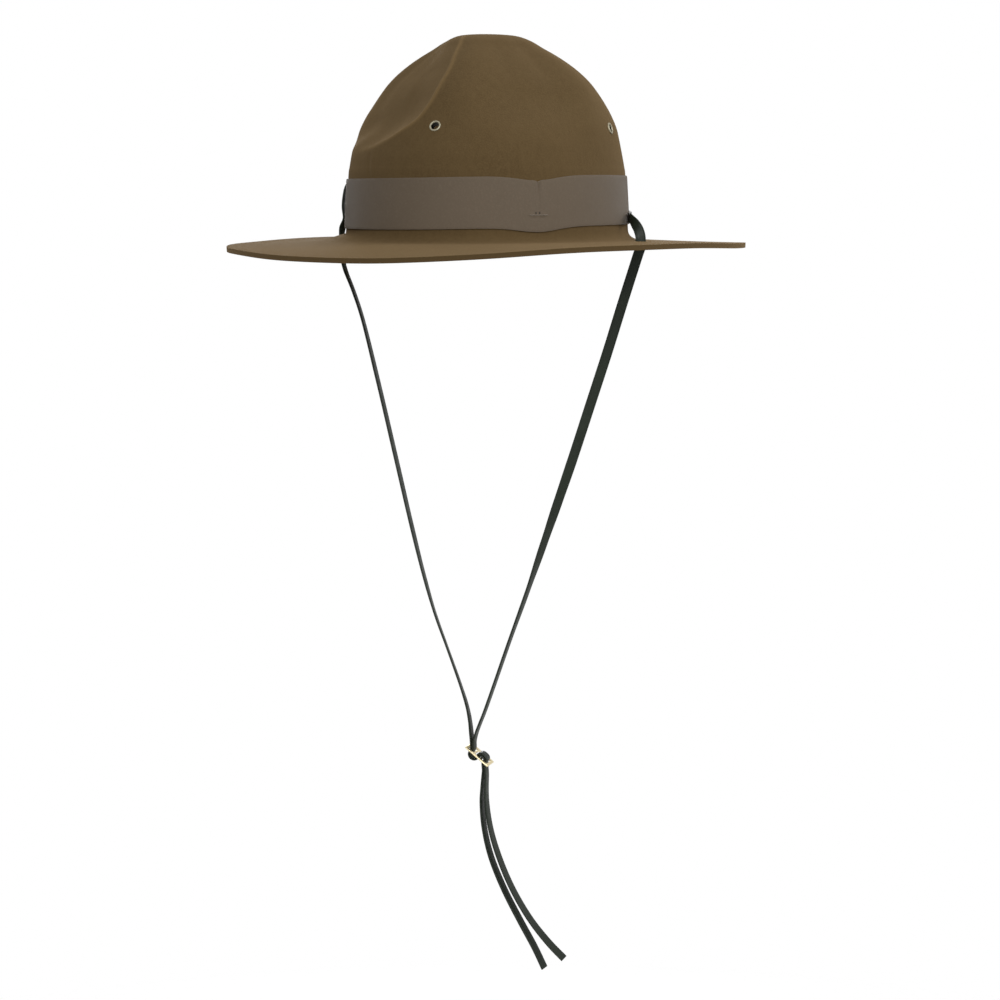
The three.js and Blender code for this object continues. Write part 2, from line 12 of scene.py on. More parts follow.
import bmesh
import bpy
from bpy.props import FloatProperty, FloatVectorProperty, IntProperty, PointerProperty
from mathutils import Matrix, Vector, noise
from mathutils.kdtree import KDTree
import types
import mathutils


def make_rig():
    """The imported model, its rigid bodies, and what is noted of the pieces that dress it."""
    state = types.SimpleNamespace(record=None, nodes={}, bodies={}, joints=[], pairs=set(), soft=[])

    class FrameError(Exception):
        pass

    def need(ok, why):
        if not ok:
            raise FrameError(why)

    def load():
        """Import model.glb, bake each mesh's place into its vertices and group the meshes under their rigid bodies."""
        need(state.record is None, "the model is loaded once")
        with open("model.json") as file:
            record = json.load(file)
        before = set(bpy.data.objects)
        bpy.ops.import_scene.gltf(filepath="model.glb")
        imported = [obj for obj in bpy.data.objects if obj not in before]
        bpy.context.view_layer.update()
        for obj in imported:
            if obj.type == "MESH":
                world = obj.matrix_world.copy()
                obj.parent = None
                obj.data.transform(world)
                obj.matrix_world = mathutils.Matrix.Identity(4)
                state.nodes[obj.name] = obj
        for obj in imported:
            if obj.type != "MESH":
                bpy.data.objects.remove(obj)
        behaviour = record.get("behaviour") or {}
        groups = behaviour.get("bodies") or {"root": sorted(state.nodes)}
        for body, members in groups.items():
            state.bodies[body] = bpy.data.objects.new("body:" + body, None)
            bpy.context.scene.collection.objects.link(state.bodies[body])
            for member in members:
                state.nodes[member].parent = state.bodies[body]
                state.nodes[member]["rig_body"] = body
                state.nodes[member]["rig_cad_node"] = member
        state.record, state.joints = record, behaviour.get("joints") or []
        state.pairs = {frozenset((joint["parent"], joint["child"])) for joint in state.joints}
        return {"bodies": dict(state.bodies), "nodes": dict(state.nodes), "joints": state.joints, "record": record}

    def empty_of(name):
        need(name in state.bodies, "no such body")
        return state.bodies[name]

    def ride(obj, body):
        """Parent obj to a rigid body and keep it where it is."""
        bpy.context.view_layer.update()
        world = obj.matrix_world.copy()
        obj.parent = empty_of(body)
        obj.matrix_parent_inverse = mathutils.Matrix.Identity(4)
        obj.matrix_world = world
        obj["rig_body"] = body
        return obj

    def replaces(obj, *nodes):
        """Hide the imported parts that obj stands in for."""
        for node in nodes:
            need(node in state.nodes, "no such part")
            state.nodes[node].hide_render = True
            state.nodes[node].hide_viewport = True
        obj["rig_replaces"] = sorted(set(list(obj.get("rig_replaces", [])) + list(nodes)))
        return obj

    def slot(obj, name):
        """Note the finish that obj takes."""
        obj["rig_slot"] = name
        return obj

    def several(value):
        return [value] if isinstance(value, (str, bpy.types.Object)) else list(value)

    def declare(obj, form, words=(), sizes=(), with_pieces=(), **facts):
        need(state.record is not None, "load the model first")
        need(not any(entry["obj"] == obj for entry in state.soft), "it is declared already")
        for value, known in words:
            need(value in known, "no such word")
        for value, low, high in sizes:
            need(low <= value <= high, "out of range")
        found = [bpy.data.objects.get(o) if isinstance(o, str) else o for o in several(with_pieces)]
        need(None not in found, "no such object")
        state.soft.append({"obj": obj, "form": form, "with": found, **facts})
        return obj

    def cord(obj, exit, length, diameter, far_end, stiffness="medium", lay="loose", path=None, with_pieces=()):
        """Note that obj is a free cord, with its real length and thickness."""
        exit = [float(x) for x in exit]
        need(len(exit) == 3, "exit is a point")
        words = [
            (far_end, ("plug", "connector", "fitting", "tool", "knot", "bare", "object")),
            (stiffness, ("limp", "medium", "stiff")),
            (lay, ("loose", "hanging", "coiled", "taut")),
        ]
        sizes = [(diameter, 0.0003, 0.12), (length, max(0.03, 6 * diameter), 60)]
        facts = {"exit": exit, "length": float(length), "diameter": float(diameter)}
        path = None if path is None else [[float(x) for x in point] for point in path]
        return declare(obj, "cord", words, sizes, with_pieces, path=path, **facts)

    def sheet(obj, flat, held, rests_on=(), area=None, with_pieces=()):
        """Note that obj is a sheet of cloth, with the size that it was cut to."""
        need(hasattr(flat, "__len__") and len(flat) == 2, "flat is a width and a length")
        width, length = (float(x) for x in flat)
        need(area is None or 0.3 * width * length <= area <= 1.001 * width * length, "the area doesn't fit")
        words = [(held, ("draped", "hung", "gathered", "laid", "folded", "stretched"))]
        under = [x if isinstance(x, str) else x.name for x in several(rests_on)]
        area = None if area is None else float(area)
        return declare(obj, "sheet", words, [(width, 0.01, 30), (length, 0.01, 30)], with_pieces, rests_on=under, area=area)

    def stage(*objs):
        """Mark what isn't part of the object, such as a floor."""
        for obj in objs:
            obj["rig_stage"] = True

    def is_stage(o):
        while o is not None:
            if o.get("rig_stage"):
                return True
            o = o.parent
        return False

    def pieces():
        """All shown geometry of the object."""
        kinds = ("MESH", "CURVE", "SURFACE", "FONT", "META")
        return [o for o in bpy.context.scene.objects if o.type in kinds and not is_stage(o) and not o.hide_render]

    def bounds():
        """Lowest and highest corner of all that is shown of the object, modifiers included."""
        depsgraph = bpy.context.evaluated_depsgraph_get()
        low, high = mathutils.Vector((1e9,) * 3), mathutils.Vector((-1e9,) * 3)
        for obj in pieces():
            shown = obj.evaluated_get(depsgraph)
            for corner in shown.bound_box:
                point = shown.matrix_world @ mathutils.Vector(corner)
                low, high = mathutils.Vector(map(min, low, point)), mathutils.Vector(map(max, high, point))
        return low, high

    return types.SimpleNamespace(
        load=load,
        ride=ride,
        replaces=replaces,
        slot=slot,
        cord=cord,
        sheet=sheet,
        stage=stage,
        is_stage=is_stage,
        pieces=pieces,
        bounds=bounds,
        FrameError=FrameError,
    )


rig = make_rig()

bl_info = {
    "name": "Campaign Hat",
    "version": (1, 0, 0),
    "blender": (4, 5, 0),
    "location": "View3D > Sidebar > Campaign Hat",
    "description": "Builds a felt campaign hat with its ribbon band, eyelets and chin strap",
    "category": "Object",
}

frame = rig.load()
CAD_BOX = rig.bounds()
MM = 0.001

# ---- the hat's measures, in millimetres and degrees ----
FOOT_HALF_X = 87.1
FOOT_HALF_Y = 103.9
BRIM_WIDTH = 74.5

# The crown's outer ridge lines from the foot to the flat top: height, the share of the foot's half
# size left at the sides and at the front and back, and the share of the full dent.
CROWN_ROWS = [
    (9, 1.0, 1.0, 0),
    (20, 0.994, 0.994, 0),
    (31, 0.987, 0.987, 0),
    (42, 0.98, 0.979, 0),
    (49, 0.97, 0.965, 0.6),
    (57, 0.955, 0.938, 1),
    (65, 0.94, 0.9, 1),
    (71.8, 0.924, 0.864, 1),
    (79, 0.894, 0.824, 1),
    (86, 0.857, 0.783, 1),
    (93, 0.813, 0.735, 1),
    (99.5, 0.762, 0.678, 1),
    (106, 0.689, 0.608, 1),
    (112, 0.6, 0.536, 0.92),
    (117.5, 0.5, 0.456, 0.76),
    (122, 0.406, 0.383, 0.54),
    (126, 0.328, 0.318, 0.32),
    (128.6, 0.256, 0.252, 0.16),
    (129.7, 0.205, 0.203, 0.07),
    (130.2, 0.13, 0.13, 0.03),
    (130.3, 0.03, 0.03, 0),
]
CROWN_TOP = 130.3
CROWN_RINGS = 104
BRIM_RINGS = 24
CENTRE_RADIUS = 3  # of the disc that the crown is drawn out from

# How close the columns stand round the crown, by turn. They are closest along the sharp fold.
COLUMN_SPACING = [(0, 1.0), (180, 1.0), (212, 0.9), (235, 0.52), (272, 0.45), (282, 1.0), (360, 1.0)]

# The four soft dents. The fold under a dent runs low beside the side ridge and climbs along the front
# or back ridge. Keep is the undented turn beside the end ridge, ease the turn over which the dent
# deepens, and soft the same over height. The side ridges are broad at their foot and narrow upwards.
FOLD_BASE = 53.5
FOLD_CLIMB = 280
FOLD_NEAREST = 3.5
SIDE_KEEP_LOW = 14
SIDE_KEEP_HIGH = 5
SIDE_KEEP_FROM = 68
SIDE_KEEP_OVER = 32
SIDE_EASE = 26
SOFT_DENTS = [
    {"side": 0, "end": 90, "depth": 11, "keep": 2, "ease": 24, "soft": 30},
    {"side": 180, "end": 90, "depth": 11, "keep": 2, "ease": 24, "soft": 30},
    {"side": 180, "end": 270, "depth": 13, "keep": 0, "ease": 12, "soft": 20},
    {"side": 360, "end": 270, "depth": 9, "keep": 4, "ease": 34, "soft": 34},
]
# The dent on the wearer's front right has a sharp fold beside the front ridge: its line by height,
# as turns from the front, and the depth and reach of the dent behind it. The felt is pinched up a
# little along the fold.
CREASE_LINE = [
    (54.5, 88),
    (55.6, 72),
    (56.9, 57),
    (58.6, 43.1),
    (60.5, 33.1),
    (64.8, 23.3),
    (69.8, 16.6),
    (75.9, 10),
    (86.2, 5.1),
    (97.8, 2.75),
    (108.4, 1.6),
    (115, 3.2),
    (123, 7),
    (127.5, 13),
    (129.5, 22),
]
CREASE_TURNS = (180, 272)
CREASE_DEPTH = 15
CREASE_REACH_LOW = 20
CREASE_REACH_HIGH = 38
CREASE_ROUND = 1.3
CREASE_PINCH = 0.8
CREASE_SIDE_EASE = 45
CREASE_SIDE_ROUND = 8
# Width of the painted highlight along the sharp fold.
CREASE_HIGHLIGHT_WIDTH = 1.5
CUT_EDGE = -1  # marks the brim's cut edge, painted darker as shade, in the layer that holds the painted light

# A faint upright wrinkle above the ribbon on the wearer's front right: turn and height.
WRINKLE = [(241, 36), (239.7, 40), (238, 48), (236.8, 54), (236, 59)]

# The fillet from the crown's foot to the brim, as distance out from the foot and height.
FILLET_ROWS = [
    (0.15, 7.8), (0.5, 6.7), (1.2, 5.6), (2.2, 4.7), (3.5, 4), (5, 3.45), (6.6, 3.15), (8.5, 3)
]
BRIM_DROOP = 3.3
BRIM_SADDLE = 2.7
BRIM_TWIST = -1.6
BRIM_RIPPLE = -0.9
# The fillet swells a little on the wearer's right.
SWELL = 3.4
SWELL_AT = 190
SWELL_SPREAD = 35
SWELL_OUT = 5

BAND_LOW = 11.4
BAND_SIDE_LIFT = 0.4
BAND_TILT = 0.9
TACK_AT = 313.4
TACK_DIP = 2.8
TACK_SPREAD = 10.8
TACK_BAR_HEIGHT = 19.3
TACK_BAR_HALF = 6.3
MM_PER_DEGREE = 1.66  # along the ribbon at the tack

EYELET_HEIGHT = 71.8
EYELET_CUT_RADIUS = 3
STRAP_HOLES_X = (100.8, -101.8)
STRAP_HOLE_RADIUS = 3.75
STRAP_OFF_WALL = 2.1  # the middle of the strap's thickness where it runs round the ribbon

# The slide's plate: its centre, its lean about Y and its size.
SLIDE_CENTRE = Vector((-1.1, -16.5, -328.9))
SLIDE_LEAN = 37
SLIDE_LENGTH = 19.3
SLIDE_WIDTH = 12
SLIDE_THICKNESS = 1
SLIDE_CORNER = 0.8
SLOT_PITCH = 5.5
SLOT_LENGTH = 7.6
SLOT_OPENING = 4
STACK_OFFSET = 0.75  # each strap's distance from the middle of the stacked pair
BEND_TURNS = (150, 120, 90, 60, 30)
FOLD = 1.4  # radius of the tighter corners over the second bar

# The strap's routes as x, y, z and face, the bearing of the flat side's outward normal: 0 is the
# front, 90 the wearer's left, 180 the back and 270 the wearer's right.
BACK_START = [
    (100.8, 0, 1.3, 200),
    (100.8, 0, 4.6, 200),
    (100, 0.2, 8, 196),
    (98.6, 0.8, 10.8, 186),
    (96.6, 2, 13.2, 170),
    (94.2, 4.6, 15, 148),
    (91.6, 9.4, 16.2, 124),
]
# Round the crown against the ribbon: turn and height.
BACK_HUG = [
    (11, 16.7),
    (20, 17.3),
    (34, 18.3),
    (50, 20),
    (66, 22.6),
    (82, 25.6),
    (98, 28.6),
    (114, 31.6),
    (130, 34.2),
    (144, 36.2),
]
BACK_END = [
    (-79.6, 49, 37.6, 250),
    (-86, 33, 38.4, 256),
    (-93.2, 16.5, 38.6, 258),
    (-97.2, 5, 38, 266),
    (-98.4, 0.6, 34.6, 273),
    (-99.4, -0.3, 29.4, 275),
    (-99.9, -0.3, 23.4, 275),
    (-99.2, 0, 16.6, 271),
    (-101.2, 0, 10.4, 258),
    (-101.8, 0, 5.5, 266),
    (-101.8, 0, 1.3, 268),
]
LEFT_LEG = [
    (100.8, 0, 1, 20),
    (100.8, 0, -1, 20),
    (99.4, -0.5, -5.6, 20),
    (89.8, -2, -36.3, 20),
    (80.7, -3.6, -66.4, 20),
    (71.1, -5.2, -96.6, 22),
    (58.9, -7.3, -134.9, 30),
    (49.9, -8.8, -161.9, 46),
    (41, -10.2, -188.5, 66),
    (30.3, -12, -220.5, 86),
    (19.1, -13.8, -252.2, 91),
    (8.1, -15.3, -284.2, 92),
    (2.4, -16, -300.4, 92),
    (-0.6, -16.3, -308, 92),
    (-3, -16.5, -314.4, 91),
]
RIGHT_LEG = [
    (-101.8, 0, 1, 268),
    (-101.8, 0, -1, 268),
    (-101.6, -0.2, -6.5, 270),
    (-99.7, -0.7, -15.5, 273),
    (-93.5, -1.4, -30, 276),
    (-87.3, -2.2, -46.4, 277),
    (-75.4, -4.4, -88, 274),
    (-59.9, -8.2, -144.6, 273),
    (-49.6, -11, -181.9, 274),
    (-40.3, -13, -214, 278),
    (-32.4, -14.2, -238, 283),
    (-23.6, -15, -260.1, 285),
    (-14.5, -15.8, -283.1, 283),
    (-9.7, -16.2, -297, 279),
    (-7.7, -16.4, -306, 275),
    (-6.7, -16.5, -314.4, 271),
]
LEFT_TAIL = [
    (3.9, -16.5, -342, 90),
    (3.7, -16.5, -350, 90),
    (3.9, -16.5, -360, 88),
    (6.4, -16.4, -377.2, 86),
    (12, -16.3, -395.5, 85),
    (21.2, -16.1, -416.2, 84),
    (33.5, -15.8, -435.8, 83),
    (46.4, -15.5, -450.6, 81),
    (56.6, -15.2, -460, 80),
]
RIGHT_TAIL = [
    (1.8, -16.5, -342, 270),
    (1.1, -16.5, -350, 269),
    (0.6, -16.5, -360, 267),
    (2.2, -16.6, -377.4, 264),
    (6.8, -16.8, -395.9, 262),
    (15.7, -17, -416.5, 261),
    (27, -17.2, -436.8, 260),
    (37.3, -17.4, -454.1, 259),
    (44, -17.6, -467, 258),
]


CAMERA_PLACE = (0.49277, -1.32084, 0.03133)  # metres
CAMERA_TURN = 20.173
CAMERA_TILT = 90 - 7.889
CAMERA_ROLL = -0.143
CAMERA_LENS = 79.32


# ---- settings that a user would change ----
def colour(name, description, default):
    return FloatVectorProperty(
        name=name, description=description, subtype="COLOR", size=3, min=0, max=1, default=default
    )


def measure(name, description, default):
    return FloatProperty(
        name=name, description=description, unit="LENGTH", subtype="DISTANCE", min=0, default=default
    )


class FeltSettings(bpy.types.PropertyGroup):
    nap: colour("Felt", "Colour of the brown fur felt", (0.092, 0.06, 0.026))
    nap_dark: colour("Felt in the nap", "Darker tone deep in the nap", (0.076, 0.048, 0.02))
    crown_wall: measure("Crown wall", "Thickness of the crown's felt", 2.5 * MM)
    brim_wall: measure("Brim thickness", "Thickness of the brim's felt", 3 * MM)
    edge_round: measure("Brim edge", "How far the brim's cut edge is rounded", 1.1 * MM)
    columns: IntProperty(name="Columns", description="Faces round the crown", default=300, min=64)


class RibbonSettings(bpy.types.PropertyGroup):
    weave: colour("Ribbon", "Colour of the ribbed ribbon", (0.135, 0.104, 0.073))
    thread: colour("Thread", "Colour of the tack's stitches", (0.2, 0.165, 0.125))
    width: measure("Width", "Width of the ribbon", 30.5 * MM)
    thickness: measure("Thickness", "Thickness of the ribbon", 0.9 * MM)


class StrapSettings(bpy.types.PropertyGroup):
    leather: colour("Leather", "Colour of the dark strap leather", (0.0135, 0.0188, 0.0122))
    width: measure("Width", "Width of the strap", 6.4 * MM)
    thickness: measure("Thickness", "Thickness of the strap", 1.2 * MM)
    back_length: measure("Length over the brim", "The stretch round the back", 0.36)
    leg_length: measure("Length of a leg", "A leg from the brim to its cut end", 0.507)


class MetalSettings(bpy.types.PropertyGroup):
    eyelet: colour("Eyelets", "Colour of the dull eyelet metal", (0.36, 0.33, 0.24))
    slide: colour("Slide", "Colour of the polished brass", (0.82, 0.71, 0.45))
    eyelet_flange: measure("Eyelet flange", "Radius of the rolled flange", 3.6 * MM)
    eyelet_hole: measure("Eyelet hole", "Radius of the hole", 2.4 * MM)


def power(name, description, default):
    return FloatProperty(name=name, description=description, unit="POWER", min=0, default=default)


def share_of(name, description, default):
    return FloatProperty(name=name, description=description, min=0, default=default)


class StageSettings(bpy.types.PropertyGroup):
    backdrop: colour("Floor", "Colour of the pale floor", (0.93, 0.93, 0.92))
    floor_drop: measure("Floor drop", "How far the floor lies under the hat", 1.1)
    key: power("Key light", "Power of the soft light in front, on the wearer's left", 30)
    overhead: power("Overhead light", "Power of the soft light over the hat", 5.5)
    side: power("Side light", "Power of the soft light at the wearer's left side", 14)
    back: power("Back light", "Power of the low light behind, on the wearer's right", 17)
    room_low: share_of("Room light, low", "Light from the walls' foot", 0.3)
    room_high: share_of("Room light, high", "Light from the ceiling", 0.36)
    room_gloss: share_of("Room in gloss", "How bright gloss sees the walls", 0.8)
    room_side: share_of("Room light, side", "Share of the room's light on the wearer's right", 0.5)


class HatSettings(bpy.types.PropertyGroup):
    felt: PointerProperty(type=FeltSettings, name="Felt")
    ribbon: PointerProperty(type=RibbonSettings, name="Ribbon band")
    strap: PointerProperty(type=StrapSettings, name="Chin strap")
    metal: PointerProperty(type=MetalSettings, name="Metal")
    stage: PointerProperty(type=StageSettings, name="Stage")


# ---- general helpers ----
def deselect():
    if bpy.context.object and bpy.context.object.mode != "OBJECT":
        bpy.ops.object.mode_set(mode="OBJECT")
    bpy.ops.object.select_all(action="DESELECT")


def select_only(*pieces):
    deselect()
    for piece in pieces:
        piece.select_set(True)
    bpy.context.view_layer.objects.active = pieces[0]


def named(name):
    piece = bpy.context.object
    piece.name = name
    piece.data.name = name
    return piece


def settle(piece):
    """Puts the piece's place in its mesh and leaves its object at the origin."""
    select_only(piece)
    bpy.ops.object.transform_apply(location=True, rotation=True, scale=True)


def apply_modifier(piece, kind, **values):
    select_only(piece)
    bpy.ops.object.modifier_add(type=kind)
    modifier = piece.modifiers[-1]
    for key, value in values.items():
        setattr(modifier, key, value)
    bpy.ops.object.modifier_apply(modifier=modifier.name)


def smooth(piece, degrees):
    select_only(piece)
    bpy.ops.object.shade_smooth_by_angle(angle=math.radians(degrees))


def finish_piece(piece, node_name, slot, material):
    """Hangs a finished piece on the frame in the place of its CAD node."""
    piece.data.materials.clear()
    piece.data.materials.append(material)
    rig.ride(piece, "root")
    if node_name:
        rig.replaces(piece, node_name)
    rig.slot(piece, slot)


def smooth_step(share):
    t = min(max(share, 0), 1)
    return t * t * (3 - 2 * t)


def lerp(a, b, share):
    return a + (b - a) * share


def look_up(table, key):
    """Straight-line reading of a table of (key, value) rows in rising order."""
    if key <= table[0][0]:
        return table[0][1]
    for (k0, v0), (k1, v1) in zip(table, table[1:]):
        if key <= k1:
            return lerp(v0, v1, (key - k0) / (k1 - k0))
    return table[-1][1]


def curve_point(points, i, share):
    """A centripetal smooth curve through points of any size: its place after row i."""
    a, b = points[i], points[i + 1]
    before = points[i - 1] if i else a * 2 - b
    after = points[i + 2] if i + 2 < len(points) else b * 2 - a
    d0, d1, d2 = (max((q - p).length, 1e-6) ** 0.5 for p, q in [(before, a), (a, b), (b, after)])
    out = ((a - before) / d0 - (b - before) / (d0 + d1) + (b - a) / d1) * d1
    into = ((b - a) / d1 - (after - a) / (d1 + d2) + (after - b) / d2) * d1
    t = share
    return a + out * t + (b * 3 - a * 3 - out * 2 - into) * t**2 + (a * 2 - b * 2 + out + into) * t**3


def wrapped_blank(name, columns, rows, place, closed_rows=False):
    """A flat blank of faces that is wrapped into a tube: place(column, row) is where each goes.
    The columns meet in a seam, and so do the rows where they are closed; else the ends are filled."""
    deselect()
    bpy.ops.mesh.primitive_grid_add(x_subdivisions=columns, y_subdivisions=rows, size=1)
    piece = named(name)
    for vertex in piece.data.vertices:
        column = round((vertex.co.x + 0.5) * columns)
        row = round((vertex.co.y + 0.5) * rows)
        vertex.co = place(column % columns, row % rows if closed_rows else row)
    bpy.ops.object.mode_set(mode="EDIT")
    bpy.ops.mesh.select_all(action="SELECT")
    bpy.ops.mesh.remove_doubles(threshold=1e-7)
    if not closed_rows:
        bpy.ops.mesh.fill_holes(sides=0)
    bpy.ops.mesh.select_all(action="SELECT")
    bpy.ops.mesh.normals_make_consistent(inside=False)
    bpy.ops.object.mode_set(mode="OBJECT")
    return piece


# ---- material helpers ----
class Recipe:
    """A material's node tree, added to node by node."""

    def __init__(self, name, roughness, **constants):
        self.material = bpy.data.materials.new(name)
        self.material.use_nodes = True
        self.tree = self.material.node_tree
        self.shader = self.tree.nodes["Principled BSDF"]
        self.shader.inputs["Roughness"].default_value = roughness
        for key, value in constants.items():
            self.shader.inputs[key.replace("_", " ")].default_value = value

    def add(self, kind, inputs=None, **values):
        node = self.tree.nodes.new(kind)
        for key, value in values.items():
            setattr(node, key, value)
        for key, value in (inputs or {}).items():
            if isinstance(value, bpy.types.NodeSocket):
                self.tree.links.new(value, node.inputs[key])
            else:
                node.inputs[key].default_value = value
        return node

    def place(self, kind="Object", scale=(1, 1, 1), turn=(0, 0, 0)):
        coords = self.add("ShaderNodeTexCoord").outputs[kind]
        mapping = self.add("ShaderNodeMapping", {"Vector": coords, "Scale": scale, "Rotation": turn})
        return mapping.outputs["Vector"]

    def noise(self, place, scale, detail=3, roughness=0.55):
        inputs = {"Vector": place, "Scale": scale, "Detail": detail, "Roughness": roughness}
        return self.add("ShaderNodeTexNoise", inputs).outputs["Fac"]

    def ramp(self, value, low, high):
        """Spreads the values from low to high over 0 to 1."""
        inputs = {"Value": value, "From Min": low, "From Max": high}
        return self.add("ShaderNodeMapRange", inputs).outputs["Result"]

    def maths(self, operation, a, b=0.0):
        return self.add("ShaderNodeMath", {0: a, 1: b}, operation=operation).outputs[0]

    def blend(self, share, first, second):
        node = self.add("ShaderNodeMix", data_type="RGBA")
        for key, value in ((0, share), (6, first), (7, second)):
            if isinstance(value, bpy.types.NodeSocket):
                self.tree.links.new(value, node.inputs[key])
            else:
                node.inputs[key].default_value = value if key == 0 else (*value[:3], 1)
        return node.outputs[2]

    def bump(self, height, distance, strength=1.0, under=None):
        inputs = {"Height": height, "Distance": distance, "Strength": strength}
        if under:
            inputs["Normal"] = under
        return self.add("ShaderNodeBump", inputs).outputs["Normal"]

    def connect(self, output, socket):
        self.tree.links.new(output, self.shader.inputs[socket])


def shade(tone, factor):
    return tuple(min(channel * factor, 1) for channel in tone)


def felt_material(settings):
    recipe = Recipe("brown_fur_felt", 0.92)
    recipe.shader.inputs["Specular IOR Level"].default_value = 0.08
    recipe.shader.inputs["Sheen Weight"].default_value = 0.2
    recipe.shader.inputs["Sheen Roughness"].default_value = 0.6
    recipe.shader.inputs["Sheen Tint"].default_value = (0.8, 0.56, 0.3, 1)
    place = recipe.place()
    cloud = recipe.noise(place, 26, 2)
    mottle = recipe.noise(recipe.place(scale=(1, 1, 0.45)), 300, 3, 0.6)
    nap = recipe.noise(place, 1100, 3, 0.65)
    fibre_place = recipe.place(scale=(1, 1, 0.35), turn=(0.3, 0.2, 0))
    fibre = recipe.noise(fibre_place, 2400, 2, 0.7)
    light, dark = tuple(settings.nap), tuple(settings.nap_dark)
    tone = recipe.blend(recipe.ramp(mottle, 0.3, 0.72), dark, light)
    tone = recipe.blend(recipe.ramp(nap, 0.38, 0.95), tone, shade(light, 1.35))
    tone = recipe.blend(recipe.ramp(cloud, 0.35, 1.25), tone, shade(light, 1.16))
    tone = recipe.blend(recipe.ramp(fibre, 0.66, 1.0), tone, shade(light, 1.7))
    # A painted highlight along the sharp fold, read from the mesh layer, lightens the felt.
    painted_light = recipe.add("ShaderNodeAttribute", attribute_name="painted_light").outputs["Fac"]
    tone = recipe.blend(recipe.maths("MULTIPLY", painted_light, 0.9), tone, shade(light, 1.8))
    # Painted shade: the brim's cut edge is darkened.
    tone = recipe.blend(recipe.ramp(painted_light, 0.7 * CUT_EDGE, 0.95 * CUT_EDGE), tone, shade(dark, 0.95))
    recipe.connect(tone, "Base Color")
    rough = recipe.bump(mottle, 0.4 * MM, 0.14)
    recipe.connect(recipe.bump(nap, 0.22 * MM, 0.5, rough), "Normal")
    return recipe.material


def ribbon_material(settings):
    recipe = Recipe("grosgrain_ribbon", 0.62)
    recipe.shader.inputs["Specular IOR Level"].default_value = 0.14
    recipe.shader.inputs["Sheen Weight"].default_value = 0.12
    recipe.shader.inputs["Sheen Roughness"].default_value = 0.4
    weave = tuple(settings.weave)
    along = recipe.add("ShaderNodeSeparateXYZ", {"Vector": recipe.place("UV")})
    ribs = recipe.maths("SINE", recipe.maths("MULTIPLY", along.outputs["X"], 1080 * math.tau))
    picks = recipe.maths("SINE", recipe.maths("MULTIPLY", along.outputs["Y"], 58 * math.tau))
    streak = recipe.noise(recipe.place("UV", scale=(130, 2.5, 1)), 3, 3, 0.6)
    cloud = recipe.noise(recipe.place(), 30, 2)
    grain = recipe.noise(recipe.place(), 900, 2)
    tone = recipe.blend(recipe.ramp(streak, 0.3, 0.75), shade(weave, 0.97), shade(weave, 1.02))
    tone = recipe.blend(recipe.ramp(cloud, 0.3, 0.9), tone, shade(weave, 1.08))
    tone = recipe.blend(recipe.ramp(ribs, -0.2, 4), tone, shade(weave, 0.6))
    tone = recipe.blend(recipe.ramp(grain, 0.5, 1.4), tone, shade(weave, 1.4))
    recipe.connect(tone, "Base Color")
    ribbed = recipe.bump(ribs, 0.08 * MM, 0.5)
    recipe.connect(recipe.bump(picks, 0.04 * MM, 0.5, ribbed), "Normal")
    return recipe.material


def thread_material(name, tone):
    recipe = Recipe(name, 0.8)
    twist = recipe.noise(recipe.place(), 1600, 2)
    tone = recipe.blend(recipe.ramp(twist, 0.3, 0.7), shade(tone, 0.75), shade(tone, 1.1))
    recipe.connect(tone, "Base Color")
    return recipe.material


def leather_material(settings):
    recipe = Recipe("dark_strap_leather", 0.4)
    recipe.shader.inputs["Specular IOR Level"].default_value = 0.2
    dark = tuple(settings.leather)
    place = recipe.place()
    grain = recipe.add("ShaderNodeTexVoronoi", {"Vector": place, "Scale": 1500}).outputs["Distance"]
    cloud = recipe.noise(place, 55, 3, 0.6)
    wear = recipe.noise(place, 320, 3, 0.65)
    tone = recipe.blend(recipe.ramp(cloud, 0.3, 0.75), shade(dark, 0.9), shade(dark, 1.25))
    tone = recipe.blend(recipe.ramp(wear, 0.55, 1.1), tone, shade(dark, 1.9))
    recipe.connect(tone, "Base Color")
    recipe.connect(recipe.ramp(wear, -0.35, 1.6), "Roughness")
    creased = recipe.bump(wear, 0.25 * MM, 0.25)
    recipe.connect(recipe.bump(grain, 0.08 * MM, 0.5, creased), "Normal")
    return recipe.material


def metal_material(name, tone, roughness, stain, shaded_from=None):
    """The last argument gives where painted shade starts along the piece's section, by its UV's x: past it the metal
    is painted near black, as shade down a hole.
    """
    recipe = Recipe(name, roughness, Metallic=1.0)
    place = recipe.place()
    tarnish = recipe.noise(place, 420, 4, 0.65)
    scuff = recipe.noise(recipe.place(scale=(0.25, 1, 1), turn=(0.4, 0.7, 0.2)), 2600, 2, 0.5)
    dark = shade(tone, 0.04)
    tone = recipe.blend(recipe.ramp(tarnish, 0.45, 1.0), tone, shade(tone, stain))
    # Painted shade down the hole: the section's last part is painted near black.
    if shaded_from:
        along = recipe.add("ShaderNodeSeparateXYZ", {"Vector": recipe.place("UV")}).outputs["X"]
        tone = recipe.blend(recipe.ramp(along, shaded_from, shaded_from + 0.01), tone, dark)
    recipe.connect(tone, "Base Color")
    recipe.connect(recipe.ramp(scuff, -roughness * 3, 3 - roughness * 3), "Roughness")
    recipe.connect(recipe.bump(tarnish, 0.05 * MM, 0.3), "Normal")
    return recipe.material


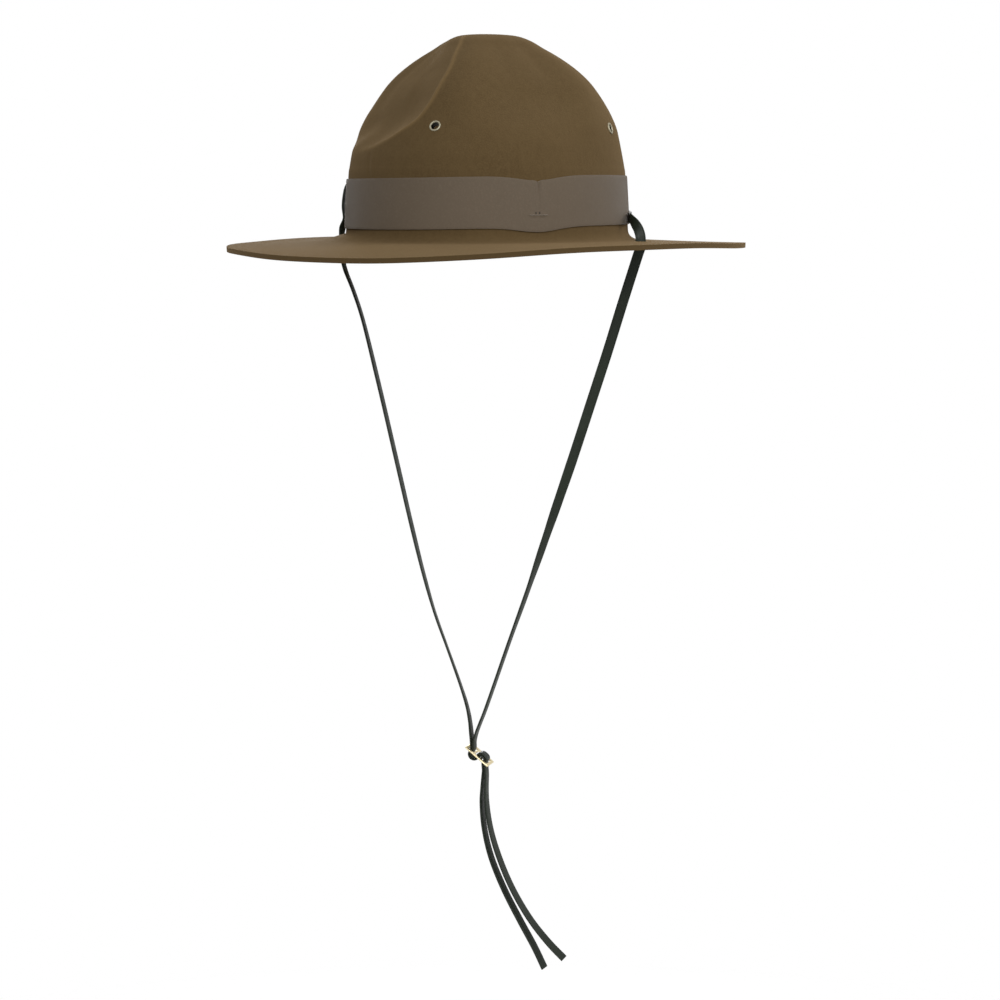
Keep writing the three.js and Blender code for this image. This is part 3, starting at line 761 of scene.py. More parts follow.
# ---- the felt's form ----
def dense_crown(count):
    """The crown's rows from the top ring to the foot, evenly spaced along the front ridge."""
    points = [Vector((side * 100, front * 100, height, dent * 100)) for height, side, front, dent
              in reversed(CROWN_ROWS)]
    fine = [curve_point(points, i, k / 12) for i in range(len(points) - 1) for k in range(12)]
    fine.append(points[-1])
    reach = [0.0]
    for a, b in zip(fine, fine[1:]):
        reach.append(reach[-1] + math.hypot((b[1] - a[1]) * FOOT_HALF_Y / 100, b[2] - a[2]))
    rows = []
    at = 0
    for k in range(count):
        want = reach[-1] * k / (count - 1)
        while at < len(reach) - 2 and reach[at + 1] < want:
            at += 1
        share = (want - reach[at]) / (reach[at + 1] - reach[at])
        side, front, height, dent = fine[at].lerp(fine[at + 1], min(max(share, 0), 1))
        rows.append((height, side / 100, front / 100, max(dent / 100, 0)))
    return rows


def shares_at(height):
    """The side, front and dent shares of the crown at a height."""
    return [look_up([(row[0], row[k]) for row in CROWN_ROWS], height) for k in (1, 2, 3)]


def plain_crown(turn, height, side, front, push=0.0):
    angle = math.radians(turn)
    x = (FOOT_HALF_X * side - push) * math.cos(angle)
    y = (FOOT_HALF_Y * front - push) * math.sin(angle)
    return Vector((x, y, height))


def crease_tree():
    """The sharp fold as close-set points on the undented crown."""
    line = []
    for height, from_end in CREASE_LINE:
        side, front, _ = shares_at(height)
        line.append(plain_crown(270 - from_end, height, side, front))
    fine = [curve_point(line, i, k / 16) for i in range(len(line) - 1) for k in range(16)]
    tree = KDTree(len(fine))
    for i, point in enumerate(fine):
        tree.insert(point, i)
    tree.balance()
    return tree


CREASE = crease_tree()


def side_keep(height):
    """The undented turn beside the side ridge, which narrows upwards."""
    return lerp(SIDE_KEEP_LOW, SIDE_KEEP_HIGH, smooth_step((height - SIDE_KEEP_FROM) / SIDE_KEEP_OVER))


def eased(way, rounding, reach):
    """Rises steeply from a rounded start and levels out at its reach."""
    start = (way + math.hypot(way, rounding)) / 2
    return 1 - (1 - min(start / reach, 1)) ** 2


def crease_push(turn, row):
    """How far the sharp dent is pressed in behind its fold."""
    height, side, front, dent = row
    from_end = 270 - turn
    _, _, distance = CREASE.find(plain_crown(turn, height, side, front))
    behind = distance if from_end > look_up(CREASE_LINE, height) else -distance
    pinch = CREASE_PINCH * math.exp(-((distance / 1.4) ** 2)) * smooth_step((height - 58) / 10)
    past_side = 90 - from_end - side_keep(height)
    reach = lerp(CREASE_REACH_LOW, CREASE_REACH_HIGH, smooth_step((height - 62) / 45))
    sink = eased(behind, CREASE_ROUND, reach)
    sink *= eased(past_side, CREASE_SIDE_ROUND, CREASE_SIDE_EASE)
    return (CREASE_DEPTH * sink - pinch) * dent


def crease_highlight(turn, row):
    """How strong the painted highlight is along the sharp fold."""
    height, side, front, _ = row
    if not CREASE_TURNS[0] <= turn <= CREASE_TURNS[1]:
        return 0.0
    _, _, distance = CREASE.find(plain_crown(turn, height, side, front))
    highlight_strength = lerp(0.3, 1, smooth_step((height - 58) / 16))
    return math.exp(-((distance / CREASE_HIGHLIGHT_WIDTH) ** 2)) * highlight_strength


def soft_push(turn, row):
    height, _, _, share = row
    for dent in SOFT_DENTS:
        low, high = sorted((dent["side"], dent["end"]))
        if not low <= turn <= high:
            continue
        from_end = abs(turn - dent["end"])
        fold = FOLD_BASE + FOLD_CLIMB / (from_end + FOLD_NEAREST)
        along = smooth_step((height - fold) / dent["soft"])
        beside_side = smooth_step((abs(turn - dent["side"]) - side_keep(height)) / SIDE_EASE)
        beside_end = smooth_step((from_end - dent["keep"]) / dent["ease"])
        return dent["depth"] * along * beside_side * beside_end * share
    return 0.0


def crown_push(turn, row):
    """How far the wall is pressed in: the sharp fold gives way to the soft dent round the side."""
    soft = soft_push(turn, row)
    if not CREASE_TURNS[0] <= turn <= CREASE_TURNS[1]:
        return soft
    start = lerp(238, 212, smooth_step((row[0] - 64) / 24))
    return lerp(crease_push(turn, row), soft, smooth_step((start - turn) / 24))


def wrinkle_push(turn, height):
    if not 225 < turn < 250:
        return 0.0
    middle = look_up([(z, at) for at, z in WRINKLE], height)
    ends = smooth_step((height - 34) / 8) * smooth_step((62 - height) / 10)
    across = (turn - middle) * 1.7
    groove = 0.4 * math.exp(-((across / 2.2) ** 2))
    swell = 0.25 * math.exp(-(((across - 4) / 2.6) ** 2))
    return ends * (groove - swell)


def crown_place(turn, row):
    height, side, front, _ = row
    push = crown_push(turn, row) + wrinkle_push(turn, height)
    point = plain_crown(turn, height, side, front, push)
    settle_in = smooth_step((height - 40) / 20) * smooth_step((CROWN_TOP - height) / 30)
    hand = noise.noise(point * 0.028 + Vector((3.1, 7.7, 1.3))) * 0.7 * settle_in
    return (point + Vector((point.x, point.y, 0)).normalized() * hand) * MM


def turn_between(a, b):
    return abs((a - b + 540) % 360 - 180)


def brim_rise(turn, out):
    share = out / BRIM_WIDTH
    angle = math.radians(turn)
    warp = BRIM_SADDLE * math.cos(2 * angle) + BRIM_TWIST * math.sin(2 * angle)
    ripple = BRIM_RIPPLE * math.cos(4 * angle)
    away = turn_between(turn, SWELL_AT) / SWELL_SPREAD
    swell = SWELL * math.exp(-(away**2)) * out / SWELL_OUT * math.exp(1 - out / SWELL_OUT)
    return (warp + ripple) * share**1.5 - BRIM_DROOP * share + swell


def brim_place(turn, out, height):
    angle = math.radians(turn)
    x = (FOOT_HALF_X + out) * math.cos(angle)
    y = (FOOT_HALF_Y + out) * math.sin(angle)
    wave = noise.noise(Vector((x, y, 0)) * 0.016) * 0.5 * out / BRIM_WIDTH
    return Vector((x, y, height + brim_rise(turn, out) + wave)) * MM


def column_turns(count):
    """Turns of the columns, set closer where the sharp fold runs."""
    density = [1 / look_up(COLUMN_SPACING, k / 2) for k in range(720)]
    total = sum(density)
    turns, run, k = [], 0.0, 0
    for i in range(count):
        want = total * i / count
        while run + density[k] < want:
            run += density[k]
            k += 1
        turns.append((k + (want - run) / density[k]) / 2)
    return turns


def standing_at(middle, outward):
    """The place of a round piece whose axis points outward from its middle."""
    return Matrix.Translation(middle) @ outward.to_track_quat("Z", "Y").to_matrix().to_4x4()


def hole_cutters(settings):
    """Round cutters for the four eyelet holes and the two strap holes, joined into one piece."""
    cutters = []
    for at in (0, 90, 180, 270):
        middle, outward = eyelet_seat(at, settings)
        deselect()
        bpy.ops.mesh.primitive_cylinder_add(vertices=32, radius=EYELET_CUT_RADIUS * MM, depth=16 * MM)
        cutter = named(f"eyelet_cutter_{at}")
        cutter.matrix_world = standing_at(middle, outward)
        cutters.append(cutter)
    for x in STRAP_HOLES_X:
        deselect()
        bpy.ops.mesh.primitive_cylinder_add(
            vertices=40, radius=STRAP_HOLE_RADIUS * MM, depth=12 * MM, location=(x * MM, 0, 1.5 * MM)
        )
        cutters.append(named("strap_cutter"))
    select_only(*cutters)
    bpy.ops.object.join()
    return bpy.context.object


def eyelet_seat(at, settings):
    """The middle of the wall where an eyelet sits, and its outward direction."""
    rows = [(height, *shares_at(height)) for height in (EYELET_HEIGHT + d for d in (-4, 0, 4))]
    low, point, high = (crown_place(at, row) for row in rows)
    round_way = Vector((-math.sin(math.radians(at)), math.cos(math.radians(at)), 0))
    outward = round_way.cross(high - low).normalized()
    return point - outward * settings.crown_wall / 2, outward


class CAMPAIGN_HAT_OT_felt_body(bpy.types.Operator):
    """Block the felt body ring by ring, from the top of the crown to the brim's cut edge"""

    bl_idname = "campaign_hat.felt_body"
    bl_label = "Felt Body"

    def execute(self, context):
        settings = context.scene.campaign_hat.felt
        turns = column_turns(settings.columns)
        crown_rows = dense_crown(CROWN_RINGS)
        start, level = FILLET_ROWS[-1]
        reach = (BRIM_WIDTH - start) / BRIM_RINGS
        brim_rows = FILLET_ROWS + [(start + reach * k, level) for k in range(1, BRIM_RINGS + 1)]
        deselect()
        bpy.ops.mesh.primitive_circle_add(
            vertices=len(turns), radius=CENTRE_RADIUS * MM, fill_type="TRIFAN"
        )
        felt = named("felt_hat_body")
        bpy.ops.object.mode_set(mode="EDIT")
        mesh = bmesh.from_edit_mesh(felt.data)
        mesh.verts.layers.float.new("turn")
        # A layer for painted light: a painted highlight along the sharp fold and painted shade on the brim's cut edge.
        mesh.verts.layers.float.new("painted_light")
        turn_of, painted_light_of = (mesh.verts.layers.float[key] for key in ("turn", "painted_light"))
        centre = min(mesh.verts, key=lambda v: v.co.length)
        rim = [v for v in mesh.verts if v is not centre]
        rim.sort(key=lambda v: math.atan2(v.co.y, v.co.x) % math.tau)
        for vertex, turn in zip(rim, turns):
            vertex[turn_of] = turn
            vertex[painted_light_of] = 0
            vertex.co = crown_place(turn, crown_rows[0])
        centre.co = Vector((0, 0, CROWN_TOP * MM))
        for element in (*mesh.faces, *mesh.verts):
            element.select_set(False)
        for edge in mesh.edges:
            edge.select_set(edge.is_boundary)
        mesh.select_flush_mode()
        bmesh.update_edit_mesh(felt.data)
        # Each ring gets its place and its painted light.
        places = [
            (lambda turn, row=row: crown_place(turn, row), lambda turn, row=row: crease_highlight(turn, row))
            for row in crown_rows[1:]
        ]
        places += [(lambda turn, row=row: brim_place(turn, *row), lambda turn: 0) for row in brim_rows]
        # The last ring, the brim's cut edge, is marked for painted shade.
        places[-1] = (places[-1][0], lambda turn: CUT_EDGE)
        for place, painted_light in places:
            bpy.ops.mesh.extrude_edges_move()
            mesh = bmesh.from_edit_mesh(felt.data)
            turn_of, painted_light_of = (mesh.verts.layers.float[key] for key in ("turn", "painted_light"))
            for vertex in mesh.verts:
                if vertex.select:
                    vertex.co = place(vertex[turn_of])
                    vertex[painted_light_of] = painted_light(vertex[turn_of])
            bmesh.update_edit_mesh(felt.data)
        bpy.ops.mesh.select_all(action="SELECT")
        bpy.ops.mesh.normals_make_consistent(inside=False)
        bpy.ops.object.mode_set(mode="OBJECT")
        self.give_thickness(felt, settings)
        cutters = hole_cutters(settings)
        apply_modifier(felt, "BOOLEAN", operation="DIFFERENCE", object=cutters, solver="EXACT")
        bpy.data.objects.remove(cutters)
        felt.data.attributes.remove(felt.data.attributes["turn"])
        smooth(felt, 55)
        finish_piece(felt, "felt_body", "felt", felt_material(settings))
        return {"FINISHED"}

    @staticmethod
    def give_thickness(felt, settings):
        """Doubles the skin inwards, thinner in the crown than in the brim, and rounds the edge."""
        wall = felt.vertex_groups.new(name="wall")
        inner = felt.vertex_groups.new(name="inner")
        share = settings.crown_wall / settings.brim_wall
        for vertex in felt.data.vertices:
            across = math.hypot(vertex.co.x / FOOT_HALF_X, vertex.co.y / FOOT_HALF_Y) / MM
            weight = lerp(share, 1, smooth_step((across - 1.0) / 0.06))
            wall.add([vertex.index], weight, "REPLACE")
        apply_modifier(
            felt, "SOLIDIFY", thickness=settings.brim_wall, offset=-1, vertex_group="wall",
            use_even_offset=True, shell_vertex_group="inner",
        )
        apply_modifier(
            felt, "BEVEL", width=settings.edge_round, segments=4, limit_method="ANGLE",
            angle_limit=math.radians(62),
        )
        apply_modifier(felt, "SMOOTH", vertex_group="inner", factor=0.5, iterations=8)


# ---- ribbon band ----
def band_lift(turn, share):
    """How far the ribbon rides up from its level line: its lean, less the dip at the tack."""
    angle = math.radians(turn)
    lean = BAND_SIDE_LIFT * math.cos(2 * angle) + BAND_TILT * math.cos(angle)
    away = turn_between(turn, TACK_AT)
    notch = 0.8 * math.exp(-((away / 0.8) ** 2)) * max(share, 0) ** 6
    return lean - TACK_DIP * math.exp(-((away / TACK_SPREAD) ** 2)) - notch


def band_place(turn, share, off, width):
    """A point of the ribbon: share is 0 at its lower edge and 1 at its upper edge."""
    height = BAND_LOW + share * width / MM + band_lift(turn, share)
    side, front, _ = shares_at(height)
    point = plain_crown(turn, height, side, front)
    outward = Vector((point.x / FOOT_HALF_X**2, point.y / FOOT_HALF_Y**2, 0)).normalized()
    across = (turn - TACK_AT) * MM_PER_DEGREE
    above = smooth_step((height - 17.5) / 3)
    tuck = 0.35 + 0.6 * smooth_step((share - 0.5) / 0.5)
    pleat = -tuck * math.exp(-((across / 0.9) ** 2)) + 0.3 * math.exp(-(((across - 2.4) / 2.2) ** 2))
    along_bar = math.exp(-((across / 6.5) ** 4))
    bar = 0.22 * math.exp(-(((height - TACK_BAR_HEIGHT) / 0.8) ** 2)) * along_bar
    under = -0.22 * math.exp(-(((height - TACK_BAR_HEIGHT + 1.8) / 0.7) ** 2)) * along_bar
    ease = 0.1 * math.sin(math.radians(turn * 7 + 40)) * (0.4 + share)
    return (point + outward * (off + pleat * above + bar + under + ease + 0.2)) * MM


class CAMPAIGN_HAT_OT_ribbon_band(bpy.types.Operator):
    """Wrap the ribbon round the crown's foot and tack its pleat on the wearer's left"""

    bl_idname = "campaign_hat.ribbon_band"
    bl_label = "Ribbon Band"

    def execute(self, context):
        settings = context.scene.campaign_hat.ribbon
        columns, rows = 720, 34
        thickness = settings.thickness / MM
        # The tube's columns run round the ribbon's section, and its rows round the crown.
        section = [(k / rows, thickness) for k in range(rows + 1)]
        section[0] = (0.002, thickness - 0.18)
        section[-1] = (0.998, thickness - 0.18)
        section += [(1 - k / 4, 0) for k in range(5)]

        def place(column, row):
            share, off = section[column]
            return band_place(360 * row / columns, share, off, settings.width)

        band = wrapped_blank("grosgrain_band", len(section), columns, place, closed_rows=True)
        for loop in band.data.uv_layers[0].data:
            loop.uv = (loop.uv.y, loop.uv.x)
        smooth(band, 50)
        finish_piece(band, "hatband", "ribbon", ribbon_material(settings))
        girth = math.pi * (FOOT_HALF_X + FOOT_HALF_Y) * MM
        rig.sheet(band, flat=(settings.width, girth), held="stretched", rests_on=["felt_body"])
        self.stitch(settings, thickness)
        return {"FINISHED"}

    @staticmethod
    def stitch(settings, thickness):
        """The tack's bar of thread across the ribbon and the two short stitches above it, which are the same thread
        painted near black as shade where they sink into the ribbon.
        """
        thread = thread_material("tack_thread", tuple(settings.thread))
        # Painted shade: the stitches take the thread's colour at 0.12 of its brightness.
        dark = thread_material("shaded_stitch", shade(tuple(settings.thread), 0.12))

        def on_band(across, height):
            turn = TACK_AT + across / MM_PER_DEGREE
            share = (height - BAND_LOW - band_lift(turn, 0)) * MM / settings.width
            return band_place(turn, share, thickness + 0.1, settings.width)

        def thread_along(name, line, radius, material):
            def place(column, row):
                at = line[row]
                run = (line[min(row + 1, len(line) - 1)] - line[max(row - 1, 0)]).normalized()
                side = Vector((0, 0, 1)) if abs(run.z) < 0.7 else Vector((1, 0, 0))
                across = run.cross(side).normalized()
                angle = math.tau * column / 8
                taper = 1 if 0 < row < len(line) - 1 else 0.35
                out = across * math.cos(angle) + across.cross(run) * math.sin(angle)
                return at + out * radius * taper

            piece = wrapped_blank(name, 8, len(line) - 1, place)
            smooth(piece, 60)
            finish_piece(piece, None, "ribbon", material)

        bar = [
            on_band(TACK_BAR_HALF * (k / 18 - 1), TACK_BAR_HEIGHT + 0.12 * math.sin(k))
            for k in range(37)
        ]
        thread_along("tack_bar", bar, 0.26 * MM, thread)
        for side, across in (("left", 0.6), ("right", -1.9)):
            line = [on_band(across, TACK_BAR_HEIGHT + 0.7 + 1.2 * k / 6) for k in range(7)]
            thread_along(f"shaded_stitch_{side}", line, 0.3 * MM, dark)


# ---- eyelets ----
class CAMPAIGN_HAT_OT_eyelets(bpy.types.Operator):
    """Spin one eyelet with rolled flanges and set a copy in each hole of the crown"""

    bl_idname = "campaign_hat.eyelets"
    bl_label = "Eyelets"

    def execute(self, context):
        hat = context.scene.campaign_hat
        # 0.9 is where the painted shade down the eyelet's barrel starts.
        material = metal_material("dull_eyelet_metal", tuple(hat.metal.eyelet), 0.42, 0.55, 0.9)
        pattern = self.spin_eyelet(hat)
        for name, at in (("left", 0), ("back", 90), ("right", 180), ("front", 270)):
            eyelet = pattern.copy()
            eyelet.data = pattern.data.copy()
            context.collection.objects.link(eyelet)
            eyelet.name = eyelet.data.name = f"vent_eyelet_{name}"
            middle, outward = eyelet_seat(at, hat.felt)
            eyelet.matrix_world = standing_at(middle, outward)
            settle(eyelet)
            finish_piece(eyelet, f"eyelet_{name}", "eyelet_metal", material)
        bpy.data.objects.remove(pattern)
        return {"FINISHED"}

    @staticmethod
    def spin_eyelet(hat):
        """The eyelet's section is a rolled outer flange, the barrel's outside and a flatter inner
        flange. It closes along the barrel's inside."""
        hole = hat.metal.eyelet_hole
        flange = hat.metal.eyelet_flange
        seat = hat.felt.crown_wall / 2
        roll = (flange - hole) / 2
        section = []
        for k in range(13):
            angle = math.pi * k / 12
            section.append((hole + roll - roll * math.cos(angle), seat + 0.75 * MM * math.sin(angle)))
        section.append((hole + 0.42 * MM, seat - 0.1 * MM))
        section.append((hole + 0.32 * MM, -seat))
        for k in range(7):
            angle = math.pi * k / 6
            section.append((flange - roll + roll * math.cos(angle), -seat - 0.8 * MM * math.sin(angle)))
        section.append((hole - 0.1 * MM, -seat - 1.2 * MM))
        sides = 48

        def place(column, row):
            radius, height = section[column]
            angle = math.tau * row / sides
            return Vector((radius * math.cos(angle), radius * math.sin(angle), height))

        pattern = wrapped_blank("vent_eyelet", len(section), sides, place, closed_rows=True)
        smooth(pattern, 50)
        return pattern


# ---- chin strap ----
def facing(bearing):
    angle = math.radians(bearing)
    return Vector((math.sin(angle), -math.cos(angle), 0))


def row_station(row):
    return Vector(row[:3]), facing(row[3])


def hug_station(row):
    """Against the ribbon: the strap faces straight out from the oval wall."""
    turn, height = row
    side, front, _ = shares_at(height)
    angle = math.radians(turn)
    x = (FOOT_HALF_X * side + STRAP_OFF_WALL) * math.cos(angle)
    y = (FOOT_HALF_Y * front + STRAP_OFF_WALL) * math.sin(angle)
    return Vector((x, y, height)), Vector((x, y * (FOOT_HALF_X / FOOT_HALF_Y) ** 2, 0)).normalized()


def bend_point(along, away, radius, turn):
    """A point of a bend under the bars, or over them where its middle lies on their other side."""
    angle = math.radians(turn)
    return along + radius * math.cos(angle), away + math.copysign(radius, away) * math.sin(angle)


def slide_stations(side):
    """One strap's way through the slide: down the first slot, round under the first bar, up the
    middle slot, over the second bar and down the last slot. Side is 1 for the wearer's left leg."""
    pitch, half = SLOT_PITCH, SLOT_PITCH / 2
    run = [(-pitch - 2.7, 3.8), (-pitch - 1.1, 1.8), (-pitch - 0.3, 0.6), (-pitch, -0.6)]
    run += [bend_point(-half, -1.3, half, turn) for turn in BEND_TURNS]
    run += [(0.1, -1.1), (0.2, 0.6), bend_point(FOLD + 0.2, 0.6, FOLD, 135), (FOLD + 0.3, 0.6 + FOLD)]
    run += [(pitch - FOLD, 0.6 + FOLD), bend_point(pitch - FOLD, 0.6, FOLD, 45), (pitch, 0.6)]
    run += [(pitch, -0.5), (pitch + 0.4, -1.6), (pitch + 1.4, -2.9), (pitch + 3.2, -4.9)]
    lean = math.radians(SLIDE_LEAN)
    along = Vector((math.cos(lean), 0, -math.sin(lean)))
    away = Vector((math.sin(lean), 0, math.cos(lean)))
    stations = []
    for i, (p, q) in enumerate(run):
        before, after = run[max(i - 1, 0)], run[min(i + 1, len(run) - 1)]
        way = Vector((after[0] - before[0], after[1] - before[1])).normalized()
        outward = (along * -way.y + away * way.x) * side
        stations.append((SLIDE_CENTRE + along * p + away * q + outward * STACK_OFFSET, outward))
    return stations


def smooth_stations(stations, step=1.7):
    """Sections a step apart along a smooth curve: each has its point, its run and its outward side."""
    points = [point for point, _ in stations]
    line, outwards = [], []
    for i in range(len(points) - 1):
        count = max(2, math.ceil((points[i + 1] - points[i]).length / step))
        for k in range(count):
            line.append(curve_point(points, i, k / count))
            outwards.append(stations[i][1].lerp(stations[i + 1][1], smooth_step(k / count)))
    line.append(points[-1])
    outwards.append(stations[-1][1])
    return line, outwards


def strap_section(width, thickness):
    """The strap's outline: rounded edges, and on each face a line pressed in beside each edge."""
    w, t = width / 2, thickness / 2
    half = [
        (w, 0), (w - 0.05, t * 0.5), (w - 0.22, t * 0.86), (w - 0.5, t), (w - 0.75, t * 0.97),
        (w - 0.95, t * 0.84), (w - 1.15, t * 0.97), (w - 1.6, t), (0, t * 1.04),
    ]
    top = half + [(-u, v) for u, v in reversed(half[:-1])]
    return top + [(u, -v) for u, v in reversed(top[1:-1])]


def lay_strap(name, stations, settings):
    """Lays a strip of leather along its stations; gives the piece and its centreline."""
    line, outwards = smooth_stations(stations)
    section = strap_section(settings.width / MM, settings.thickness / MM)
    rings = []
    for i, (point, outward) in enumerate(zip(line, outwards)):
        run = (line[min(i + 1, len(line) - 1)] - line[max(i - 1, 0)]).normalized()
        across = run.cross(outward).normalized()
        normal = across.cross(run).normalized()
        rings.append([(point + across * u + normal * v) * MM for u, v in section])
    strap = wrapped_blank(name, len(section), len(line) - 1, lambda column, row: rings[row][column])
    smooth(strap, 40)
    return strap, [point * MM for point in line]


class CAMPAIGN_HAT_OT_chin_strap(bpy.types.Operator):
    """Lay the strap's stretch over the brim and its two legs that hang through the slide"""

    bl_idname = "campaign_hat.chin_strap"
    bl_label = "Chin Strap"

    def execute(self, context):
        settings = context.scene.campaign_hat.strap
        leather = leather_material(settings)
        left = [*map(row_station, LEFT_LEG), *slide_stations(1), *map(row_station, LEFT_TAIL)]
        right = [*map(row_station, RIGHT_LEG), *slide_stations(-1), *map(row_station, RIGHT_TAIL)]
        over = [*map(row_station, BACK_START), *map(hug_station, BACK_HUG), *map(row_station, BACK_END)]
        back, line = lay_strap("strap_over_brim", over, settings)
        finish_piece(back, "chin_strap_back", "strap_leather", leather)
        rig.cord(
            back, exit=line[0], length=settings.back_length, diameter=settings.width,
            far_end="object", stiffness="medium", lay="loose", path=line,
        )
        for name, node, stations, on_it in (
            ("strap_left_leg", "chin_strap_left", left, ["strap_slide"]),
            ("strap_right_leg", "chin_strap_right", right, []),
        ):
            leg, line = lay_strap(name, stations, settings)
            finish_piece(leg, node, "strap_leather", leather)
            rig.cord(
                leg, exit=line[0], length=settings.leg_length, diameter=settings.width,
                far_end="bare", stiffness="limp", lay="hanging", path=line, with_pieces=on_it,
            )
        return {"FINISHED"}


class CAMPAIGN_HAT_OT_strap_slide(bpy.types.Operator):
    """Cut the brass slide's three slots, round its edges and set it on the strap"""

    bl_idname = "campaign_hat.strap_slide"
    bl_label = "Strap Slide"

    def execute(self, context):
        metal = context.scene.campaign_hat.metal
        deselect()
        bpy.ops.mesh.primitive_cube_add(size=1)
        slide = named("brass_slide")
        slide.scale = (SLIDE_LENGTH * MM, SLIDE_WIDTH * MM, SLIDE_THICKNESS * MM)
        settle(slide)
        self.round_corners(slide)
        for middle in (-SLOT_PITCH, 0, SLOT_PITCH):
            deselect()
            bpy.ops.mesh.primitive_cube_add(size=1, location=(middle * MM, 0, 0))
            cutter = named("slot_cutter")
            cutter.scale = (SLOT_OPENING * MM, SLOT_LENGTH * MM, 6 * MM)
            settle(cutter)
            apply_modifier(slide, "BOOLEAN", operation="DIFFERENCE", object=cutter, solver="EXACT")
            bpy.data.objects.remove(cutter)
        apply_modifier(
            slide, "BEVEL", width=0.4 * MM, segments=4, limit_method="ANGLE",
            angle_limit=math.radians(50),
        )
        slide.matrix_world = Matrix.Translation(SLIDE_CENTRE * MM) @ Matrix.Rotation(
            math.radians(SLIDE_LEAN), 4, "Y"
        )
        settle(slide)
        smooth(slide, 35)
        brass = metal_material("polished_brass", tuple(metal.slide), 0.2, 0.8)
        finish_piece(slide, "strap_slide", "slide_brass", brass)
        return {"FINISHED"}

    @staticmethod
    def round_corners(slide):
        """Bevels the plate's four upright corner edges in edit mode."""
        select_only(slide)
        bpy.ops.object.mode_set(mode="EDIT")
        mesh = bmesh.from_edit_mesh(slide.data)
        bpy.ops.mesh.select_all(action="DESELECT")
        for edge in mesh.edges:
            a, b = edge.verts
            edge.select_set(abs(a.co.z - b.co.z) > 0.5 * SLIDE_THICKNESS * MM)
        bmesh.update_edit_mesh(slide.data)
        bpy.ops.mesh.bevel(offset=SLIDE_CORNER * MM, segments=6, affect="EDGES")
        bpy.ops.object.mode_set(mode="OBJECT")


# ---- stage ----
class CAMPAIGN_HAT_OT_camera(bpy.types.Operator):
    """Set up the camera in front of the hat, a little to the wearer's left"""

    bl_idname = "campaign_hat.camera"
    bl_label = "Camera"

    def execute(self, context):
        turn = Matrix.Rotation(math.radians(CAMERA_TURN), 4, "Z")
        turn = turn @ Matrix.Rotation(math.radians(CAMERA_TILT), 4, "X")
        deselect()
        bpy.ops.object.camera_add(location=CAMERA_PLACE)
        camera = bpy.context.object
        camera.name = "hat_camera"
        camera.rotation_euler = (turn @ Matrix.Rotation(math.radians(CAMERA_ROLL), 4, "Z")).to_euler()
        camera.data.sensor_width = 36
        camera.data.lens = CAMERA_LENS
        context.scene.camera = camera
        return {"FINISHED"}


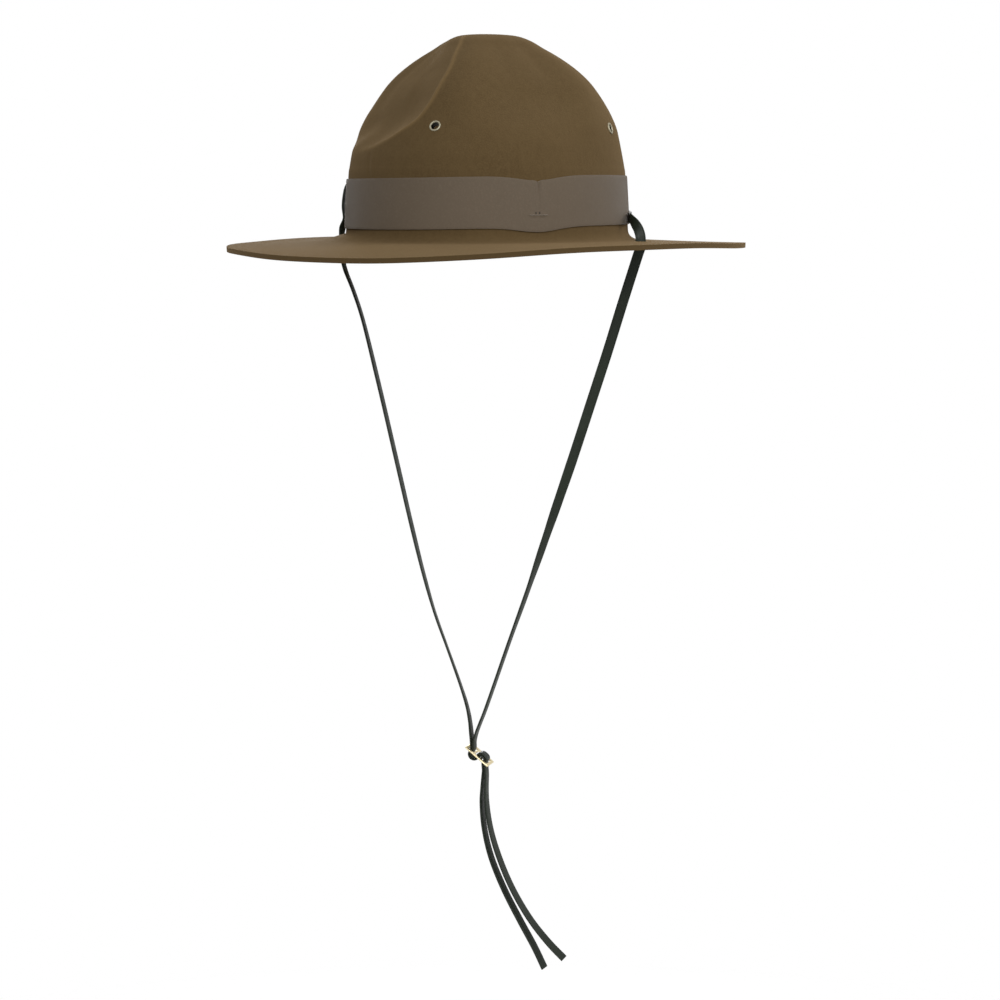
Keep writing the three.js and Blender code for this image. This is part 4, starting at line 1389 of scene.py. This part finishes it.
class CAMPAIGN_HAT_OT_stage(bpy.types.Operator):
    """Set up the pale floor, the even studio light and the soft lights round the hat"""

    bl_idname = "campaign_hat.stage"
    bl_label = "Stage"

    def execute(self, context):
        settings = context.scene.campaign_hat.stage
        self.lay_floor(settings)
        self.light_room(context, settings)
        context.scene.view_settings.view_transform = "Standard"
        self.softbox("key_light", (0.8, -1.9, 0.9), 1.1, settings.key)
        self.softbox("overhead_light", (0.1, 0.65, 2.0), 1.2, settings.overhead)
        self.softbox("side_light", (2.2, 0.3, 0.6), 0.9, settings.side)
        self.softbox("back_light", (-1.0, 2.2, 0.4), 0.9, settings.back)
        return {"FINISHED"}

    @staticmethod
    def lay_floor(settings):
        """A pale disc under the hat that fades out into the white room."""
        deselect()
        bpy.ops.mesh.primitive_circle_add(
            vertices=96, radius=1.9, fill_type="NGON", location=(0, 0, -settings.floor_drop)
        )
        floor = named("studio_floor")
        recipe = Recipe("pale_floor", 0.9)
        pale = tuple(settings.backdrop)
        tone = recipe.blend(recipe.noise(recipe.place(), 0.4), pale, shade(pale, 1.02))
        recipe.connect(tone, "Base Color")
        recipe.shader.inputs["Emission Color"].default_value = (1, 1, 1, 1)
        recipe.shader.inputs["Emission Strength"].default_value = 0.35
        reach = recipe.add("ShaderNodeVectorMath", {0: recipe.place()}, operation="LENGTH")
        recipe.connect(recipe.ramp(reach.outputs["Value"], 1.75, 1.15), "Alpha")
        floor.data.materials.append(recipe.material)
        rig.stage(floor)

    @staticmethod
    def light_room(context, settings):
        """White walls to look at and, a little less bright, in gloss. The light from them is softer,
        and grows towards the ceiling and towards the wearer's left."""
        world = bpy.data.worlds.new("studio")
        world.use_nodes = True
        tree = world.node_tree
        lit = tree.nodes["Background"]
        seen = tree.nodes.new("ShaderNodeBackground")
        seen.inputs["Color"].default_value = (1, 1, 1, 1)
        seen.inputs["Strength"].default_value = 1.0
        way = tree.nodes.new("ShaderNodeTexCoord")
        split = tree.nodes.new("ShaderNodeSeparateXYZ")
        grow = tree.nodes.new("ShaderNodeMapRange")
        across = tree.nodes.new("ShaderNodeMapRange")
        both, gloss, shown = (tree.nodes.new("ShaderNodeMath") for _ in range(3))
        both.operation = gloss.operation = "MULTIPLY"
        shown.operation = "MAXIMUM"
        gloss.inputs[1].default_value = settings.room_gloss
        path = tree.nodes.new("ShaderNodeLightPath")
        choose = tree.nodes.new("ShaderNodeMixShader")
        for key, value in (("From Min", -0.2), ("From Max", 1.0), ("To Min", settings.room_low),
                           ("To Max", settings.room_high)):
            grow.inputs[key].default_value = value
        for key, value in (("From Min", -0.8), ("From Max", 0.8), ("To Min", settings.room_side),
                           ("To Max", 1.15)):
            across.inputs[key].default_value = value
        lit.inputs["Color"].default_value = (1, 1, 1, 1)
        links = tree.links
        links.new(way.outputs["Generated"], split.inputs["Vector"])
        links.new(split.outputs["Z"], grow.inputs["Value"])
        links.new(split.outputs["X"], across.inputs["Value"])
        links.new(grow.outputs["Result"], both.inputs[0])
        links.new(across.outputs["Result"], both.inputs[1])
        links.new(both.outputs["Value"], lit.inputs["Strength"])
        links.new(path.outputs["Is Glossy Ray"], gloss.inputs[0])
        links.new(path.outputs["Is Camera Ray"], shown.inputs[0])
        links.new(gloss.outputs["Value"], shown.inputs[1])
        links.new(shown.outputs["Value"], choose.inputs["Fac"])
        links.new(lit.outputs["Background"], choose.inputs[1])
        links.new(seen.outputs["Background"], choose.inputs[2])
        links.new(choose.outputs["Shader"], tree.nodes["World Output"].inputs["Surface"])
        context.scene.world = world

    @staticmethod
    def softbox(name, place, size, power):
        deselect()
        bpy.ops.object.light_add(type="AREA", location=place)
        light = bpy.context.object
        light.name = name
        light.data.size = size
        light.data.energy = power
        light.rotation_euler = (-Vector(place)).to_track_quat("-Z", "Y").to_euler()


class CAMPAIGN_HAT_PT_build(bpy.types.Panel):
    """Lists the steps of building the hat"""

    bl_idname = "CAMPAIGN_HAT_PT_build"
    bl_label = "Campaign Hat"
    bl_space_type = "VIEW_3D"
    bl_region_type = "UI"
    bl_category = "Campaign Hat"

    def draw(self, context):
        for step in STEPS:
            self.layout.operator(step.bl_idname)
        hat = context.scene.campaign_hat
        for group in (hat.felt, hat.ribbon, hat.strap, hat.metal, hat.stage):
            box = self.layout.box()
            for key in group.__annotations__:
                box.prop(group, key)


STEPS = (
    CAMPAIGN_HAT_OT_camera,
    CAMPAIGN_HAT_OT_chin_strap,
    CAMPAIGN_HAT_OT_strap_slide,
    CAMPAIGN_HAT_OT_felt_body,
    CAMPAIGN_HAT_OT_ribbon_band,
    CAMPAIGN_HAT_OT_eyelets,
    CAMPAIGN_HAT_OT_stage,
)
CLASSES = (
    FeltSettings,
    RibbonSettings,
    StrapSettings,
    MetalSettings,
    StageSettings,
    HatSettings,
    *STEPS,
    CAMPAIGN_HAT_PT_build,
)


def register():
    for each in CLASSES:
        bpy.utils.register_class(each)
    bpy.types.Scene.campaign_hat = PointerProperty(type=HatSettings)


def unregister():
    del bpy.types.Scene.campaign_hat
    for each in reversed(CLASSES):
        bpy.utils.unregister_class(each)


def main():
    register()
    for step in STEPS:
        group, name = step.bl_idname.split(".")
        getattr(getattr(bpy.ops, group), name)()
    sizes = {"cad": [list(corner) for corner in CAD_BOX], "visual": [list(c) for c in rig.bounds()]}
    with open("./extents.json", "w") as file:
        json.dump(sizes, file)


if __name__ == "__main__":
    main()
